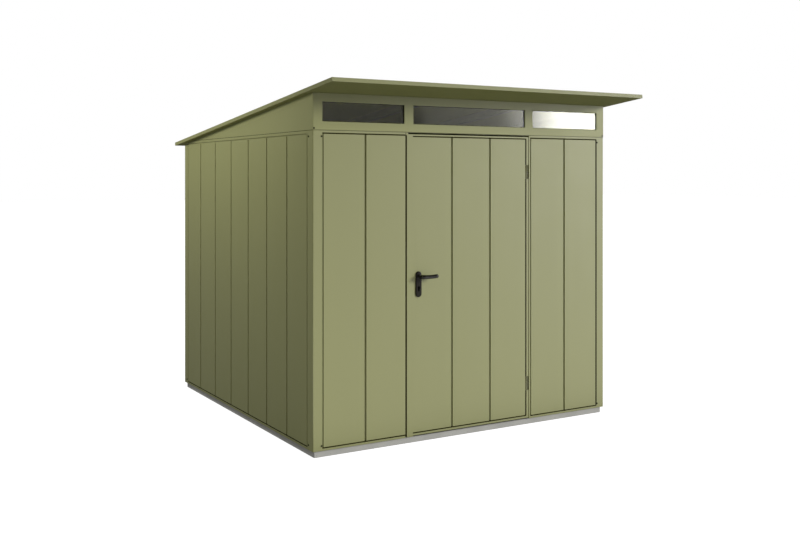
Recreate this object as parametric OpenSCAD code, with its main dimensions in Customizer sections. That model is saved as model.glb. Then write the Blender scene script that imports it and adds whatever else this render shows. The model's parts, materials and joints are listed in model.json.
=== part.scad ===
// Flat-pack metal storage shed with a mono-pitch roof, a transom row of three windows and one door.
// Origin: centre of the base's underside. +Z is up, the door side faces -Y.

/* [Walls] */
// Outside width of the walls
shed_w = 2380; // [2200:10:3000]
// Outside depth of the walls
shed_d = 2380; // [1800:10:3000]
// Height of the walls, from the base to the joint under gables and transom
wall_h = 1980; // [1900:10:2300]
// Width of a corner post on the front and the back
post_w = 66; // [60:1:90]
// Width of a corner post on the sides
post_side_w = 77; // [60:1:90]
// Outer radius of a corner post's fold
post_fold_r = 5; // [3:0.5:8]
// Sheet thickness of posts, boards, jambs and trims
sheet_t = 1.5; // [1:0.1:2]
// Depth of the grooves around and between the boards
groove_d = 8; // [6:0.5:10]
// Width of the groove between two boards
groove_w = 14; // [8:1:20]
// Width of the groove between the boards and their frame
edge_groove_w = 8; // [4:1:10]
// Number of boards on each side wall
side_boards = 7; // [5:1:9]
// Number of boards on the back wall
back_boards = 7; // [5:1:9]
// Number of boards on each side of the door
front_boards = 2; // [1:1:3]
// How much of an end board a post covers
end_cover = 22; // [10:1:30]
// How far a board's edge reaches behind a post
post_lap = 15; // [10:1:20]

/* [Rails] */
// Depth of the sill and top rails
rail_d = 38; // [30:1:42]
// Thickness of the rails
rail_t = 2; // [1.5:0.1:3]
// Height of the rails' inner edge
rail_back_h = 30; // [20:1:40]
// Height of the sill rails' outer lip
sill_lip = 13; // [10:1:25]
// Height of the front top rails' outer lip
front_top_lip = 13; // [10:1:25]
// Height of the other top rails' outer lip
side_top_lip = 18; // [10:1:25]

/* [Base] */
// Height of the base slab
slab_h = 43; // [30:1:150]
// How far the slab's edge lies behind the wall faces
slab_inset = 15; // [0:1:24]

/* [Roof] */
// Fall of the roof towards the back, in degrees
roof_fall = 6; // [4:0.5:9]
// How far the roof's underside at the back wall lies below the joint line
rear_drop = 18; // [10:1:25]
// Roof overhang at the front
front_overhang = 348; // [150:2:500]
// Roof overhang at each side
side_overhang = 47; // [20:1:100]
// Roof overhang at the back
rear_overhang = 109; // [50:1:200]
// Height of the roof panels with their lining
roof_t = 23.5; // [18:0.5:40]
// Number of roof panels side by side
roof_panel_count = 4; // [2:1:6]
// Gap between two roof panels
roof_panel_gap = 2; // [1:0.5:4]
// Width of the caps over the panel seams
seam_cap_w = 34; // [20:1:50]
// Height of the caps over the panel seams
seam_cap_h = 6; // [3:0.5:10]
// How far the edge trims lap over the roof panels
trim_lap = 36; // [20:1:60]
// Height of the angle that holds a gable on its rail
gable_leg = 25; // [15:1:40]
// Play between the sloping roof's pieces, and between the roof and the walls
roof_play = 0.1; // [0.05:0.05:0.3]
// Number of rafters
rafter_count = 2; // [1:1:4]
// Width of a rafter
rafter_w = 40; // [30:1:60]
// Height of a rafter
rafter_h = 50; // [40:1:70]

/* [Transom windows] */
// Depth of the transom's outer panel, in front of the glass
transom_front_d = 8; // [6:1:20]
// Width of the joint between the outer panel and a gable
transom_joint = 0.5; // [0.2:0.1:2]
// Height of the open seam under the outer panel and the gables
transom_seam = 3; // [2:0.5:5]
// Height of the windows' lower edge above the joint line
window_sill = 56; // [40:1:70]
// Height of the windows
window_h = 122; // [80:1:125]
// Width of the transom beside the outer windows
window_stile = 66; // [50:1:90]
// Width of the left and the right window
side_window_w = 595; // [400:5:620]
// Width between two windows
mullion_w = 69; // [50:1:90]
// Thickness of the panes
pane_t = 4; // [3:0.5:6]
// How far a pane reaches behind the transom's outer panel
pane_lap = 12; // [8:1:20]

/* [Door] */
// Distance from the left wall corner to the leaf's lock edge
door_left = 680; // [500:5:800]
// Width of the leaf
door_w = 1000; // [800:5:1100]
// Thickness of the leaf
leaf_t = 34; // [30:1:45]
// Gap at the lock edge
door_lock_gap = 12; // [10:0.5:15]
// Gap at the hinge edge
door_hinge_gap = 5; // [5:0.5:8]
// Gap over the leaf
door_top_gap = 10; // [6:0.5:15]
// Gap under the leaf
door_bottom_gap = 7; // [5:0.5:15]
// Number of boards on the leaf
door_boards = 3; // [2:1:4]
// Width of the plain edge on the lock side
door_lock_margin = 46; // [30:1:60]
// Width of the edge strip on the hinge side
door_hinge_strip = 18; // [15:1:25]
// Height of the edge strip at the leaf's top
door_top_strip = 10; // [8:1:20]
// Height of the edge strip at the leaf's bottom
door_bottom_strip = 12; // [8:1:20]
// Gap between the closed leaf and the stop at its lock edge and top
stop_gap = 6; // [5:0.5:10]
// Gap between the closed leaf and the stop at its hinge edge
hinge_stop_gap = 12; // [10:0.5:16]
// How far a stop reaches behind the leaf
stop_lap = 20; // [12:1:30]
// Depth of the stops
stop_d = 18; // [12:1:25]
// Width of the lock jamb's leg behind the boards
jamb_leg_w = 38; // [25:1:50]
// Width of the hinge jamb's face beside the leaf
jamb_lip_w = 12; // [10:1:20]
// How far the boards reach behind the hinge jamb's face
jamb_lap = 8; // [5:0.5:8]
// How far the head stop reaches below the joint line
head_drop = 30; // [20:1:50]
// How far the head stop reaches up behind the transom
head_rise = 25; // [15:1:40]

/* [Hinges] */
// Distance of the hinge pin from the leaf's hinge edge
hinge_inset = 16.5; // [11:0.5:20]
// Distance of the hinge pin behind the leaf's face
hinge_depth = 2; // [0:0.5:3]
// Radius of the hinge knuckles
knuckle_r = 8; // [6:0.5:8]
// Radius of the hinge pin
pin_r = 4; // [3:0.5:5]
// Length of a hinge, both knuckles together
hinge_len = 92; // [60:1:120]
// Height of the lower hinge's middle above the base
lower_hinge_h = 247; // [200:1:500]
// Distance from the joint line over the leaf down to the upper hinge's middle
upper_hinge_drop = 254; // [200:1:500]
// Thickness of the hinge straps
strap_t = 3; // [2:0.5:4]
// Depth of the leaf's notches behind the hinge knuckles
notch_d = 16; // [14:0.5:20]
// Gap between a hinge and the ends of its notch
notch_gap = 2; // [1:0.5:4]
// Gap between a knuckle and the side of its notch
knuckle_gap = 1.5; // [1:0.5:3]
// Play between pin and knuckle, and between the two knuckles
hinge_play = 0.2; // [0.1:0.05:0.3]

/* [Lock and lever] */
// Height of the lever's axis above the base
lever_h = 1041; // [950:1:1100]
// Distance of the lever's axis from the leaf's lock edge
lever_backset = 87; // [75:1:110]
// Width of the lever plates
plate_w = 43; // [36:1:50]
// Height of the lever plates
plate_h = 168; // [150:1:220]
// Height of the plate's top over the lever's axis
plate_top = 34; // [25:1:40]
// Thickness of the lever plates
plate_t = 9; // [6:0.5:12]
// Distance from the leaf's face to the lever arm's middle
lever_reach = 52; // [45:1:60]
// Length of the lever arm from its axis
lever_len = 126; // [100:1:140]
// Radius of the lever's bar
lever_r = 11; // [8:0.5:12]
// Radius of the lever's bend
lever_bend_r = 16; // [14:1:20]
// Radius of the lever's journal in its plate
journal_r = 8; // [6:0.5:9]
// Play of the lever in its plate
lever_play = 0.3; // [0.2:0.05:0.5]
// Radius of the spindle between the two levers
spindle_r = 4.5; // [4:0.5:6]
// Distance from the lever's axis down to the lock cylinder
cylinder_drop = 72; // [65:1:90]
// Radius of the lock cylinder's round part
cylinder_r = 8.5; // [7:0.5:9]
// Half width of the lock cylinder's flat part
cylinder_web_r = 5; // [4:0.5:6]
// Height of the lock cylinder's flat part below the round part's middle
cylinder_web_h = 19.5; // [15:0.5:22]
// How far the lock cylinder stands out of its plates
cylinder_proud = 2; // [1:0.5:4]
// Play of the lock cylinder in its holes
cylinder_play = 0.3; // [0.2:0.05:0.5]
// Width of the lock's face plate and strike plate
lock_plate_w = 22; // [16:1:24]
// Height of the lock's face plate
face_plate_h = 235; // [180:1:280]
// Height of the strike plate
strike_plate_h = 160; // [120:1:200]
// Thickness of the face plate and the strike plate
lock_plate_t = 1.5; // [1:0.5:2]

/* [Hidden] */
$fn = 48;
eps = 1;
fall_ratio = tan(roof_fall);
rear_h = wall_h - rear_drop;
front_h = rear_h + shed_d * fall_ratio;
// Depth, from the front, where the roof's underside meets the joint line
gable_tip = (front_h - wall_h) / fall_ratio;
board_t = groove_d + sheet_t;
stop_front = leaf_t + stop_gap;
hinge_stop_front = leaf_t + hinge_stop_gap;

door_right = door_left + door_w;
leaf_bottom = door_bottom_gap;
leaf_top = wall_h - door_top_gap;
lock_jamb_x = door_left - door_lock_gap;
hinge_jamb_x = door_right + door_hinge_gap;
right_field_x = hinge_jamb_x + jamb_lip_w;
door_field_x0 = door_left + door_lock_margin;
door_field_x1 = door_right - door_hinge_strip - edge_groove_w;
hinge_x = door_right - hinge_inset;
notch_x = min(door_field_x1, hinge_x - knuckle_r - knuckle_gap);
hinge_heights = [lower_hinge_h, wall_h - upper_hinge_drop];
lever_x = door_left + lever_backset;
cylinder_h = lever_h - cylinder_drop;
plate_r = plate_w / 2;

centre_window_w = shed_w - 2 * (window_stile + side_window_w + mullion_w);
centre_window_x = window_stile + side_window_w + mullion_w;
right_window_x = shed_w - window_stile - side_window_w;

roof_x = shed_w / 2 + side_overhang;
roof_y0 = -front_overhang / cos(roof_fall);
roof_y1 = (shed_d + rear_overhang) / cos(roof_fall);
// What the edge trims enclose stays this far behind their faces.
roof_rim = sheet_t + roof_play;
trim_z = roof_t + roof_play;

green = [0.60, 0.61, 0.47];
shade_green = [0.52, 0.53, 0.39];
concrete = [0.62, 0.61, 0.59];
black = [0.16, 0.15, 0.14];
steel = [0.70, 0.70, 0.70];
glass = [0.35, 0.38, 0.36, 0.6];

// Wall frames: X runs to the right as seen from outside, Y runs inwards, Z starts on the base.
module on_front() {
    translate([-shed_w / 2, -shed_d / 2, slab_h])
        children();
}

module on_right() {
    translate([shed_w / 2, -shed_d / 2, slab_h])
        rotate([0, 0, 90])
            children();
}

module on_back() {
    translate([shed_w / 2, shed_d / 2, slab_h])
        rotate([0, 0, 180])
            children();
}

module on_left() {
    translate([-shed_w / 2, shed_d / 2, slab_h])
        rotate([0, 0, -90])
            children();
}

// Mirrors a piece of a wall of this length from its left end to its right end.
module at_right_end(length) {
    translate([length, 0, 0])
        mirror([1, 0, 0])
            children();
}

// Roof frame: origin over the front wall's face, X to the right, Y down the slope, Z=0 on the underside.
module on_roof() {
    translate([0, -shed_d / 2, slab_h + front_h])
        rotate([-roof_fall, 0, 0])
            translate([0, 0, roof_play])
                children();
}

// A box given by its lowest and its highest corner.
module box(low, high) {
    translate(low)
        cube(high - low);
}

// A profile of depth and height, drawn along X from x0 to x1.
module along_x(x0, x1) {
    translate([x0, 0, 0])
        rotate([90, 0, 90])
            linear_extrude(x1 - x0)
                children();
}

// Everything under the roof lining.
module under_roof() {
    translate([0, 0, slab_h])
        along_x(-shed_w, shed_w)
            polygon([
                [-shed_d / 2, -eps],
                [shed_d / 2, -eps],
                [shed_d / 2, rear_h],
                [-shed_d / 2, front_h],
            ]);
}

module base_slab() {
    x = shed_w / 2 - slab_inset;
    y = shed_d / 2 - slab_inset;
    color(concrete)
        box([-x, -y, 0], [x, y, slab_h]);
}

// A square with its corner at the origin rounded.
module folded_square(side, r) {
    difference() {
        square(side);
        difference() {
            square(r);
            translate([r, r])
                circle(r);
        }
    }
}

// Corner post: a folded angle with hemmed edges around a square tube.
module post() {
    linear_extrude(wall_h)
        difference() {
            union() {
                translate([rail_d - eps, 0])
                    square([post_w - rail_d + eps, groove_d]);
                translate([0, rail_d - eps])
                    square([groove_d, post_side_w - rail_d + eps]);
                folded_square(rail_d, post_fold_r);
            }
            translate([sheet_t, sheet_t])
                folded_square(rail_d - 2 * sheet_t, post_fold_r - sheet_t);
            translate([rail_d, sheet_t])
                square([post_w - rail_d - sheet_t, groove_d]);
            translate([sheet_t, rail_d])
                square([groove_d, post_side_w - rail_d - sheet_t]);
        }
}

module front_left_post() {
    color(green)
        on_front()
            post();
}

module front_right_post() {
    color(green)
        on_front()
            at_right_end(shed_w)
                post();
}

module back_right_post() {
    color(green)
        intersection() {
            on_back()
                post();
            under_roof();
        }
}

module back_left_post() {
    color(green)
        intersection() {
            on_back()
                at_right_end(shed_w)
                    post();
            under_roof();
        }
}

// Outer lip of a top rail whose outer top edge is at height 0.
module top_lip_profile(lip, rise) {
    polygon([
        [0, -lip],
        [groove_d, -lip],
        [groove_d, groove_d * rise],
        [0, 0],
    ]);
}

// Web and inner edge of a top rail, behind its lip.
module top_channel_profile(rise) {
    inner = rail_d - rail_t;
    polygon([
        [groove_d, groove_d * rise - rail_t],
        [inner, inner * rise - rail_t],
        [inner, -rail_back_h],
        [rail_d, -rail_back_h],
        [rail_d, rail_d * rise],
        [groove_d, groove_d * rise],
    ]);
}

// A top rail from x0 to x1, its channel ending at channel_x1.
module top_rail(x0, x1, channel_x1, height, lip, rise = 0) {
    translate([0, 0, height]) {
        along_x(x0, x1)
            top_lip_profile(lip, rise);
        along_x(x0, channel_x1)
            top_channel_profile(rise);
    }
}

// A sill rail is a top rail turned over.
module sill_rail(x0, x1, channel_x1) {
    mirror([0, 0, 1])
        top_rail(x0, x1, channel_x1, 0, sill_lip);
}

module front_sill_rails() {
    color(green)
        on_front() {
            sill_rail(post_w, lock_jamb_x, lock_jamb_x - jamb_leg_w);
            sill_rail(right_field_x, shed_w - post_w, shed_w - post_w);
        }
}

module left_sill_rail() {
    color(green)
        on_left()
            sill_rail(post_side_w, shed_d - post_side_w, shed_d - post_side_w);
}

module right_sill_rail() {
    color(green)
        on_right()
            sill_rail(post_side_w, shed_d - post_side_w, shed_d - post_side_w);
}

module back_sill_rail() {
    color(green)
        on_back()
            sill_rail(post_w, shed_w - post_w, shed_w - post_w);
}

module front_top_rails() {
    color(green)
        on_front() {
            top_rail(post_w, lock_jamb_x, lock_jamb_x - jamb_leg_w, wall_h, front_top_lip);
            top_rail(right_field_x, shed_w - post_w, shed_w - post_w, wall_h, front_top_lip);
        }
}

module side_top_rail() {
    end = shed_d - post_side_w;
    top_rail(post_side_w, end, end, wall_h, side_top_lip);
}

module left_top_rail() {
    color(green)
        intersection() {
            on_left()
                side_top_rail();
            under_roof();
        }
}

module right_top_rail() {
    color(green)
        intersection() {
            on_right()
                side_top_rail();
            under_roof();
        }
}

module back_top_rail() {
    end = shed_w - post_w;
    color(green)
        on_back()
            top_rail(post_w, end, end, rear_h, side_top_lip, fall_ratio);
}

// A folded board: a flange from x0 to x1 with a raised pan from pan_x0 to pan_x1.
module board(x0, x1, pan_x0, pan_x1, top, pan_z0, pan_z1) {
    difference() {
        union() {
            box([x0, groove_d, rail_t], [x1, board_t, top]);
            box([pan_x0, 0, pan_z0], [pan_x1, board_t, pan_z1]);
        }
        box(
            [pan_x0 + sheet_t, sheet_t, pan_z0 + sheet_t],
            [pan_x1 - sheet_t, board_t + eps, pan_z1 - sheet_t]
        );
    }
}

// A field of boards between two frame edges at x0 and x1, each with its groove and its lap.
module board_field(x0, x1, count, cover, groove0, groove1, lap0, lap1, height, lip, flange_top) {
    pan_w = (x1 - x0 - groove0 - groove1 - (count - 1) * groove_w + 2 * cover) / count;
    first = x0 + groove0 - cover;
    pan_z0 = sill_lip + edge_groove_w;
    pan_z1 = height - lip - edge_groove_w;
    joint = sheet_t / 2;
    for (i = [0 : count - 1]) {
        start = first + i * (pan_w + groove_w);
        is_first = i == 0;
        is_last = i == count - 1;
        board(
            is_first ? x0 - lap0 : start - groove_w / 2 + joint,
            is_last ? x1 + lap1 : start + pan_w + groove_w / 2 - joint,
            is_first ? start + cover : start,
            is_last ? start + pan_w - cover : start + pan_w,
            flange_top, pan_z0, pan_z1
        );
    }
}

module front_left_boards() {
    color(green)
        on_front()
            board_field(
                post_w, lock_jamb_x, front_boards, 0, edge_groove_w, 0, post_lap, 0,
                wall_h, front_top_lip, wall_h - rail_t
            );
}

module front_right_boards() {
    color(green)
        on_front()
            board_field(
                right_field_x, shed_w - post_w, front_boards, 0, edge_groove_w, edge_groove_w,
                jamb_lap, post_lap, wall_h, front_top_lip, wall_h - rail_t
            );
}

module side_wall_boards() {
    board_field(
        post_side_w, shed_d - post_side_w, side_boards, end_cover, edge_groove_w, edge_groove_w,
        post_lap, post_lap, wall_h, side_top_lip, wall_h - rail_t
    );
}

module left_wall_boards() {
    color(green)
        intersection() {
            on_left()
                side_wall_boards();
            under_roof();
        }
}

module right_wall_boards() {
    color(green)
        intersection() {
            on_right()
                side_wall_boards();
            under_roof();
        }
}

module back_wall_boards() {
    color(green)
        on_back()
            board_field(
                post_w, shed_w - post_w, back_boards, end_cover, edge_groove_w, edge_groove_w,
                post_lap, post_lap, rear_h, side_top_lip, rear_h + groove_d * fall_ratio - rail_t
            );
}

// A gable: a sheet over an open seam, on an angle that stands on the top rail behind it.
module gable() {
    // The angle ends where the gable is still three times as high as the sheet is thick.
    end_h = 3 * sheet_t;
    angle_front = stop_front;
    angle_end = gable_tip - end_h / fall_ratio;
    along_x(0, sheet_t)
        polygon([
            [0, wall_h + transom_seam],
            [gable_tip - transom_seam / fall_ratio, wall_h + transom_seam],
            [0, front_h],
        ]);
    along_x(sheet_t, 2 * sheet_t)
        polygon([
            [angle_front, wall_h],
            [angle_end, wall_h],
            [angle_end, wall_h + end_h],
            [gable_tip - gable_leg / fall_ratio, wall_h + gable_leg],
            [angle_front, wall_h + gable_leg],
        ]);
    box([sheet_t, angle_front, wall_h], [rail_d, angle_end, wall_h + sheet_t]);
}

module left_gable() {
    color(green)
        on_front()
            gable();
}

module right_gable() {
    color(green)
        on_front()
            at_right_end(shed_w)
                gable();
}

// The three windows from depth y0 to y1, each grown by a margin.
module window_cuts(y0, y1, margin = 0) {
    z0 = wall_h + window_sill - margin;
    z1 = wall_h + window_sill + window_h + margin;
    for (window = [
        [window_stile, side_window_w],
        [centre_window_x, centre_window_w],
        [right_window_x, side_window_w],
    ])
        box([window[0] - margin, y0, z0], [window[0] + window[1] + margin, y1, z1]);
}

// A slab of the transom between two depths, from x0 to x1 and from z0 to the roof lining.
module transom_slab(x0, x1, y0, y1, z0) {
    along_x(x0, x1)
        polygon([
            [y0, z0],
            [y1, z0],
            [y1, front_h - y1 * fall_ratio],
            [y0, front_h - y0 * fall_ratio],
        ]);
}

module transom_panel() {
    end = sheet_t + transom_joint;
    color(green)
        on_front()
            difference() {
                transom_slab(end, shed_w - end, 0, transom_front_d, wall_h + transom_seam);
                window_cuts(-eps, transom_front_d + eps);
            }
}

// Holds the panes against the outer panel, in pockets of their own size.
module transom_back_frame() {
    color(shade_green)
        on_front()
            difference() {
                transom_slab(sheet_t, shed_w - sheet_t, transom_front_d, stop_front, wall_h);
                window_cuts(0, stop_front + eps);
                window_cuts(0, transom_front_d + pane_t, pane_lap);
            }
}

module window_pane(x, w) {
    z = wall_h + window_sill;
    color(glass)
        on_front()
            box(
                [x - pane_lap, transom_front_d, z - pane_lap],
                [x + w + pane_lap, transom_front_d + pane_t, z + window_h + pane_lap]
            );
}

module left_window_pane() {
    window_pane(window_stile, side_window_w);
}

module centre_window_pane() {
    window_pane(centre_window_x, centre_window_w);
}

module right_window_pane() {
    window_pane(right_window_x, side_window_w);
}

// A folded jamb: a leg behind the boards, a side beside the leaf, and a stop behind it.
module lock_side_jamb() {
    stop_x = door_left + stop_lap;
    leg_x = lock_jamb_x - jamb_leg_w;
    color(shade_green)
        on_front()
            linear_extrude(wall_h)
                polygon([
                    [leg_x, board_t],
                    [lock_jamb_x, board_t],
                    [lock_jamb_x, stop_front],
                    [stop_x, stop_front],
                    [stop_x, stop_front + stop_d],
                    [stop_x - sheet_t, stop_front + stop_d],
                    [stop_x - sheet_t, stop_front + sheet_t],
                    [lock_jamb_x - sheet_t, stop_front + sheet_t],
                    [lock_jamb_x - sheet_t, board_t + sheet_t],
                    [leg_x, board_t + sheet_t],
                ]);
}

// The hinge jamb has a narrow face beside the leaf, hemmed like a post.
module hinge_side_jamb() {
    stop_x = door_right - stop_lap;
    color(green)
        on_front()
            linear_extrude(wall_h)
                polygon([
                    [right_field_x, 0],
                    [right_field_x, groove_d],
                    [right_field_x - sheet_t, groove_d],
                    [right_field_x - sheet_t, sheet_t],
                    [hinge_jamb_x + sheet_t, sheet_t],
                    [hinge_jamb_x + sheet_t, hinge_stop_front + sheet_t],
                    [stop_x + sheet_t, hinge_stop_front + sheet_t],
                    [stop_x + sheet_t, hinge_stop_front + stop_d],
                    [stop_x, hinge_stop_front + stop_d],
                    [stop_x, hinge_stop_front],
                    [hinge_jamb_x, hinge_stop_front],
                    [hinge_jamb_x, 0],
                ]);
}

module door_head() {
    color(shade_green)
        on_front()
            along_x(door_left + stop_lap, door_right - stop_lap)
                polygon([
                    [stop_front, wall_h - head_drop],
                    [stop_front + stop_d, wall_h - head_drop],
                    [stop_front + stop_d, wall_h - head_drop + sheet_t],
                    [stop_front + sheet_t, wall_h - head_drop + sheet_t],
                    [stop_front + sheet_t, wall_h + head_rise],
                    [stop_front, wall_h + head_rise],
                ]);
}

module strike_plate() {
    y = board_t + sheet_t;
    color(steel)
        on_front()
            box(
                [lock_jamb_x, y, lever_h - strike_plate_h / 2],
                [lock_jamb_x + lock_plate_t, y + lock_plate_w, lever_h + strike_plate_h / 2]
            );
}

module roof_lining() {
    color(shade_green)
        on_roof()
            box(
                [-roof_x + roof_rim, roof_y0 + roof_rim, 0],
                [roof_x - roof_rim, roof_y1 - roof_rim, sheet_t]
            );
}

// Roof panels are trays with their folded edges standing on the lining.
module roof_panels() {
    inner_w = 2 * (roof_x - roof_rim);
    panel_w = (inner_w - (roof_panel_count - 1) * roof_panel_gap) / roof_panel_count;
    y0 = roof_y0 + roof_rim;
    y1 = roof_y1 - roof_rim;
    color(green)
        on_roof()
            for (i = [0 : roof_panel_count - 1]) {
                x0 = -inner_w / 2 + i * (panel_w + roof_panel_gap);
                difference() {
                    box([x0, y0, roof_rim], [x0 + panel_w, y1, roof_t]);
                    box(
                        [x0 + sheet_t, y0 + sheet_t, 0],
                        [x0 + panel_w - sheet_t, y1 - sheet_t, roof_t - sheet_t]
                    );
                }
            }
}

module roof_seam_caps() {
    pitch = (2 * (roof_x - roof_rim) + roof_panel_gap) / roof_panel_count;
    color(green)
        on_roof()
            for (i = [1 : roof_panel_count - 1]) {
                x = -roof_x + roof_rim - roof_panel_gap / 2 + i * pitch;
                box(
                    [x - seam_cap_w / 2, roof_y0 + trim_lap + roof_play, trim_z],
                    [x + seam_cap_w / 2, roof_y1 - trim_lap - roof_play, roof_t + seam_cap_h]
                );
            }
}

// Rafters are channels from the transom to the back rail, open towards the lining.
module roof_rafters() {
    y0 = stop_front;
    y1 = shed_d - rail_d;
    top0 = front_h - y0 * fall_ratio;
    top1 = front_h - y1 * fall_ratio;
    pitch = shed_w / (rafter_count + 1);
    color(shade_green)
        on_front()
            for (i = [1 : rafter_count]) {
                x = i * pitch - rafter_w / 2;
                difference() {
                    along_x(x, x + rafter_w)
                        polygon([[y0, top0 - rafter_h], [y1, top1 - rafter_h], [y1, top1], [y0, top0]]);
                    along_x(x + rail_t, x + rafter_w - rail_t)
                        polygon([
                            [y0 - eps, top0 - rafter_h + rail_t + eps * fall_ratio],
                            [y1 + eps, top1 - rafter_h + rail_t - eps * fall_ratio],
                            [y1 + eps, top1 + rafter_h],
                            [y0 - eps, top0 + rafter_h],
                        ]);
                }
            }
}

// Front and rear trims run the whole width, with a face and a lap over the panels.
module cross_trim() {
    box([-roof_x, 0, 0], [roof_x, sheet_t, trim_z + sheet_t]);
    box([-roof_x, 0, trim_z], [roof_x, trim_lap, trim_z + sheet_t]);
}

module front_fascia() {
    color(green)
        on_roof()
            translate([0, roof_y0, 0])
                cross_trim();
}

module rear_fascia() {
    color(green)
        on_roof()
            translate([0, roof_y1, 0])
                mirror([0, 1, 0])
                    cross_trim();
}

// Side trims run between the front and the rear one.
module side_trim() {
    lap_y0 = roof_y0 + trim_lap + roof_play;
    lap_y1 = roof_y1 - trim_lap - roof_play;
    box([0, roof_y0 + roof_rim, 0], [sheet_t, roof_y1 - roof_rim, roof_t]);
    box([0, lap_y0, 0], [sheet_t, lap_y1, trim_z + sheet_t]);
    box([0, lap_y0, trim_z], [trim_lap, lap_y1, trim_z + sheet_t]);
}

module left_fascia() {
    color(green)
        on_roof()
            translate([-roof_x, 0, 0])
                side_trim();
}

module right_fascia() {
    color(green)
        on_roof()
            translate([roof_x, 0, 0])
                mirror([1, 0, 0])
                    side_trim();
}

// The frame's half of a hinge: the lower knuckle with the pin, on a strap to the jamb.
module hinge_frame_half(height) {
    half = hinge_len / 2;
    translate([hinge_x, hinge_depth, height - half]) {
        cylinder(r = knuckle_r, h = half - hinge_play);
        cylinder(r = pin_r, h = hinge_len);
        box([0, -strap_t / 2, 0], [hinge_jamb_x - hinge_x, strap_t / 2, half - hinge_play]);
    }
}

module hinge_frame_halves() {
    color(shade_green)
        on_front()
            for (height = hinge_heights)
                hinge_frame_half(height);
}

// The leaf's half of a hinge: the upper knuckle, on a strap to the notch's side.
module hinge_door_half(height) {
    half = hinge_len / 2;
    strap_y = knuckle_r - strap_t;
    translate([hinge_x, hinge_depth, height])
        difference() {
            union() {
                cylinder(r = knuckle_r, h = half);
                box([notch_x - hinge_x, strap_y - strap_t, 0], [0, strap_y, half]);
            }
            translate([0, 0, -eps])
                cylinder(r = pin_r + hinge_play, h = half + 2 * eps);
        }
}

module hinge_door_halves() {
    color(shade_green)
        on_front()
            for (height = hinge_heights)
                hinge_door_half(height);
}

// Grooves and hinge notches in the leaf's face, each grown by a margin.
module leaf_cuts(margin = 0) {
    z0 = leaf_bottom + door_bottom_strip;
    z1 = leaf_top - door_top_strip;
    x0 = door_field_x0 - margin;
    x1 = door_field_x1;
    depth = groove_d + margin;
    field_w = x1 - door_field_x0;
    pan_w = (field_w - (door_boards - 1) * groove_w) / door_boards;
    box([x0, -eps, z0 - margin], [x1 + edge_groove_w + margin, depth, z0 + edge_groove_w + margin]);
    box([x0, -eps, z1 - edge_groove_w - margin], [x1 + edge_groove_w + margin, depth, z1 + margin]);
    box([x1 - margin, -eps, z0 - margin], [x1 + edge_groove_w + margin, depth, z1 + margin]);
    for (i = [1 : door_boards - 1]) {
        x = door_field_x0 + i * (pan_w + groove_w) - groove_w;
        box([x - margin, -eps, z0], [x + groove_w + margin, depth, z1]);
    }
    for (height = hinge_heights) {
        reach = hinge_len / 2 + notch_gap + margin;
        box([notch_x - margin, -eps, height - reach], [door_right + eps, notch_d + margin, height + reach]);
    }
}

// Outline of the lock cylinder around its round part's middle, grown by a margin.
module cylinder_outline(margin = 0) {
    circle(cylinder_r + margin);
    translate([0, -cylinder_web_h])
        circle(cylinder_web_r + margin);
    translate([-cylinder_web_r - margin, -cylinder_web_h])
        square([2 * (cylinder_web_r + margin), cylinder_web_h]);
}

// Draws an outline of width and height along the depth, from y0 to y1.
module along_y(x, z, y0, y1) {
    translate([x, y1, z])
        rotate([90, 0, 0])
            linear_extrude(y1 - y0)
                children();
}

module lock_holes(y0, y1) {
    along_y(lever_x, lever_h, y0, y1)
        circle(spindle_r + cylinder_play);
    along_y(lever_x, cylinder_h, y0, y1)
        cylinder_outline(cylinder_play);
}

// The leaf's outer skin: a folded tray, open at the back, with the boards' grooves in its face.
module door_skin() {
    color(green)
        on_front()
            difference() {
                box([door_left, 0, leaf_bottom], [door_right, leaf_t, leaf_top]);
                leaf_cuts();
                lock_holes(-eps, leaf_t);
                difference() {
                    box(
                        [door_left + sheet_t, sheet_t, leaf_bottom + sheet_t],
                        [door_right - sheet_t, leaf_t + eps, leaf_top - sheet_t]
                    );
                    leaf_cuts(sheet_t);
                }
            }
}

module door_back_panel() {
    color(shade_green)
        on_front()
            difference() {
                box(
                    [door_left + sheet_t, leaf_t - sheet_t, leaf_bottom + sheet_t],
                    [door_right - sheet_t, leaf_t, leaf_top - sheet_t]
                );
                lock_holes(0, leaf_t + eps);
            }
}

module lock_face_plate() {
    y = (leaf_t - lock_plate_w) / 2;
    middle = (lever_h + cylinder_h) / 2;
    color(steel)
        on_front()
            box(
                [door_left - lock_plate_t, y, middle - face_plate_h / 2],
                [door_left, y + lock_plate_w, middle + face_plate_h / 2]
            );
}

// A lever plate from depth y0 to y1: round ends, a bore for the lever and a hole for the cylinder.
module lever_plate(y0, y1) {
    straight = plate_h - plate_w;
    difference() {
        along_y(lever_x, lever_h, y0, y1)
            union() {
                translate([0, plate_top - plate_r])
                    circle(plate_r);
                translate([0, plate_top - plate_r - straight])
                    circle(plate_r);
                translate([-plate_r, plate_top - plate_r - straight])
                    square([plate_w, straight]);
            }
        along_y(lever_x, lever_h, y0 - eps, y1 + eps)
            circle(journal_r + lever_play);
        along_y(lever_x, cylinder_h, y0 - eps, y1 + eps)
            cylinder_outline(cylinder_play);
    }
}

module outer_lever_plate() {
    color(black)
        on_front()
            lever_plate(-plate_t, 0);
}

module inner_lever_plate() {
    color(black)
        on_front()
            lever_plate(leaf_t, leaf_t + plate_t);
}

module lock_cylinder() {
    reach = plate_t + cylinder_proud;
    color(black)
        on_front()
            along_y(lever_x, cylinder_h, -reach, leaf_t + reach)
                cylinder_outline();
}

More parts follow.
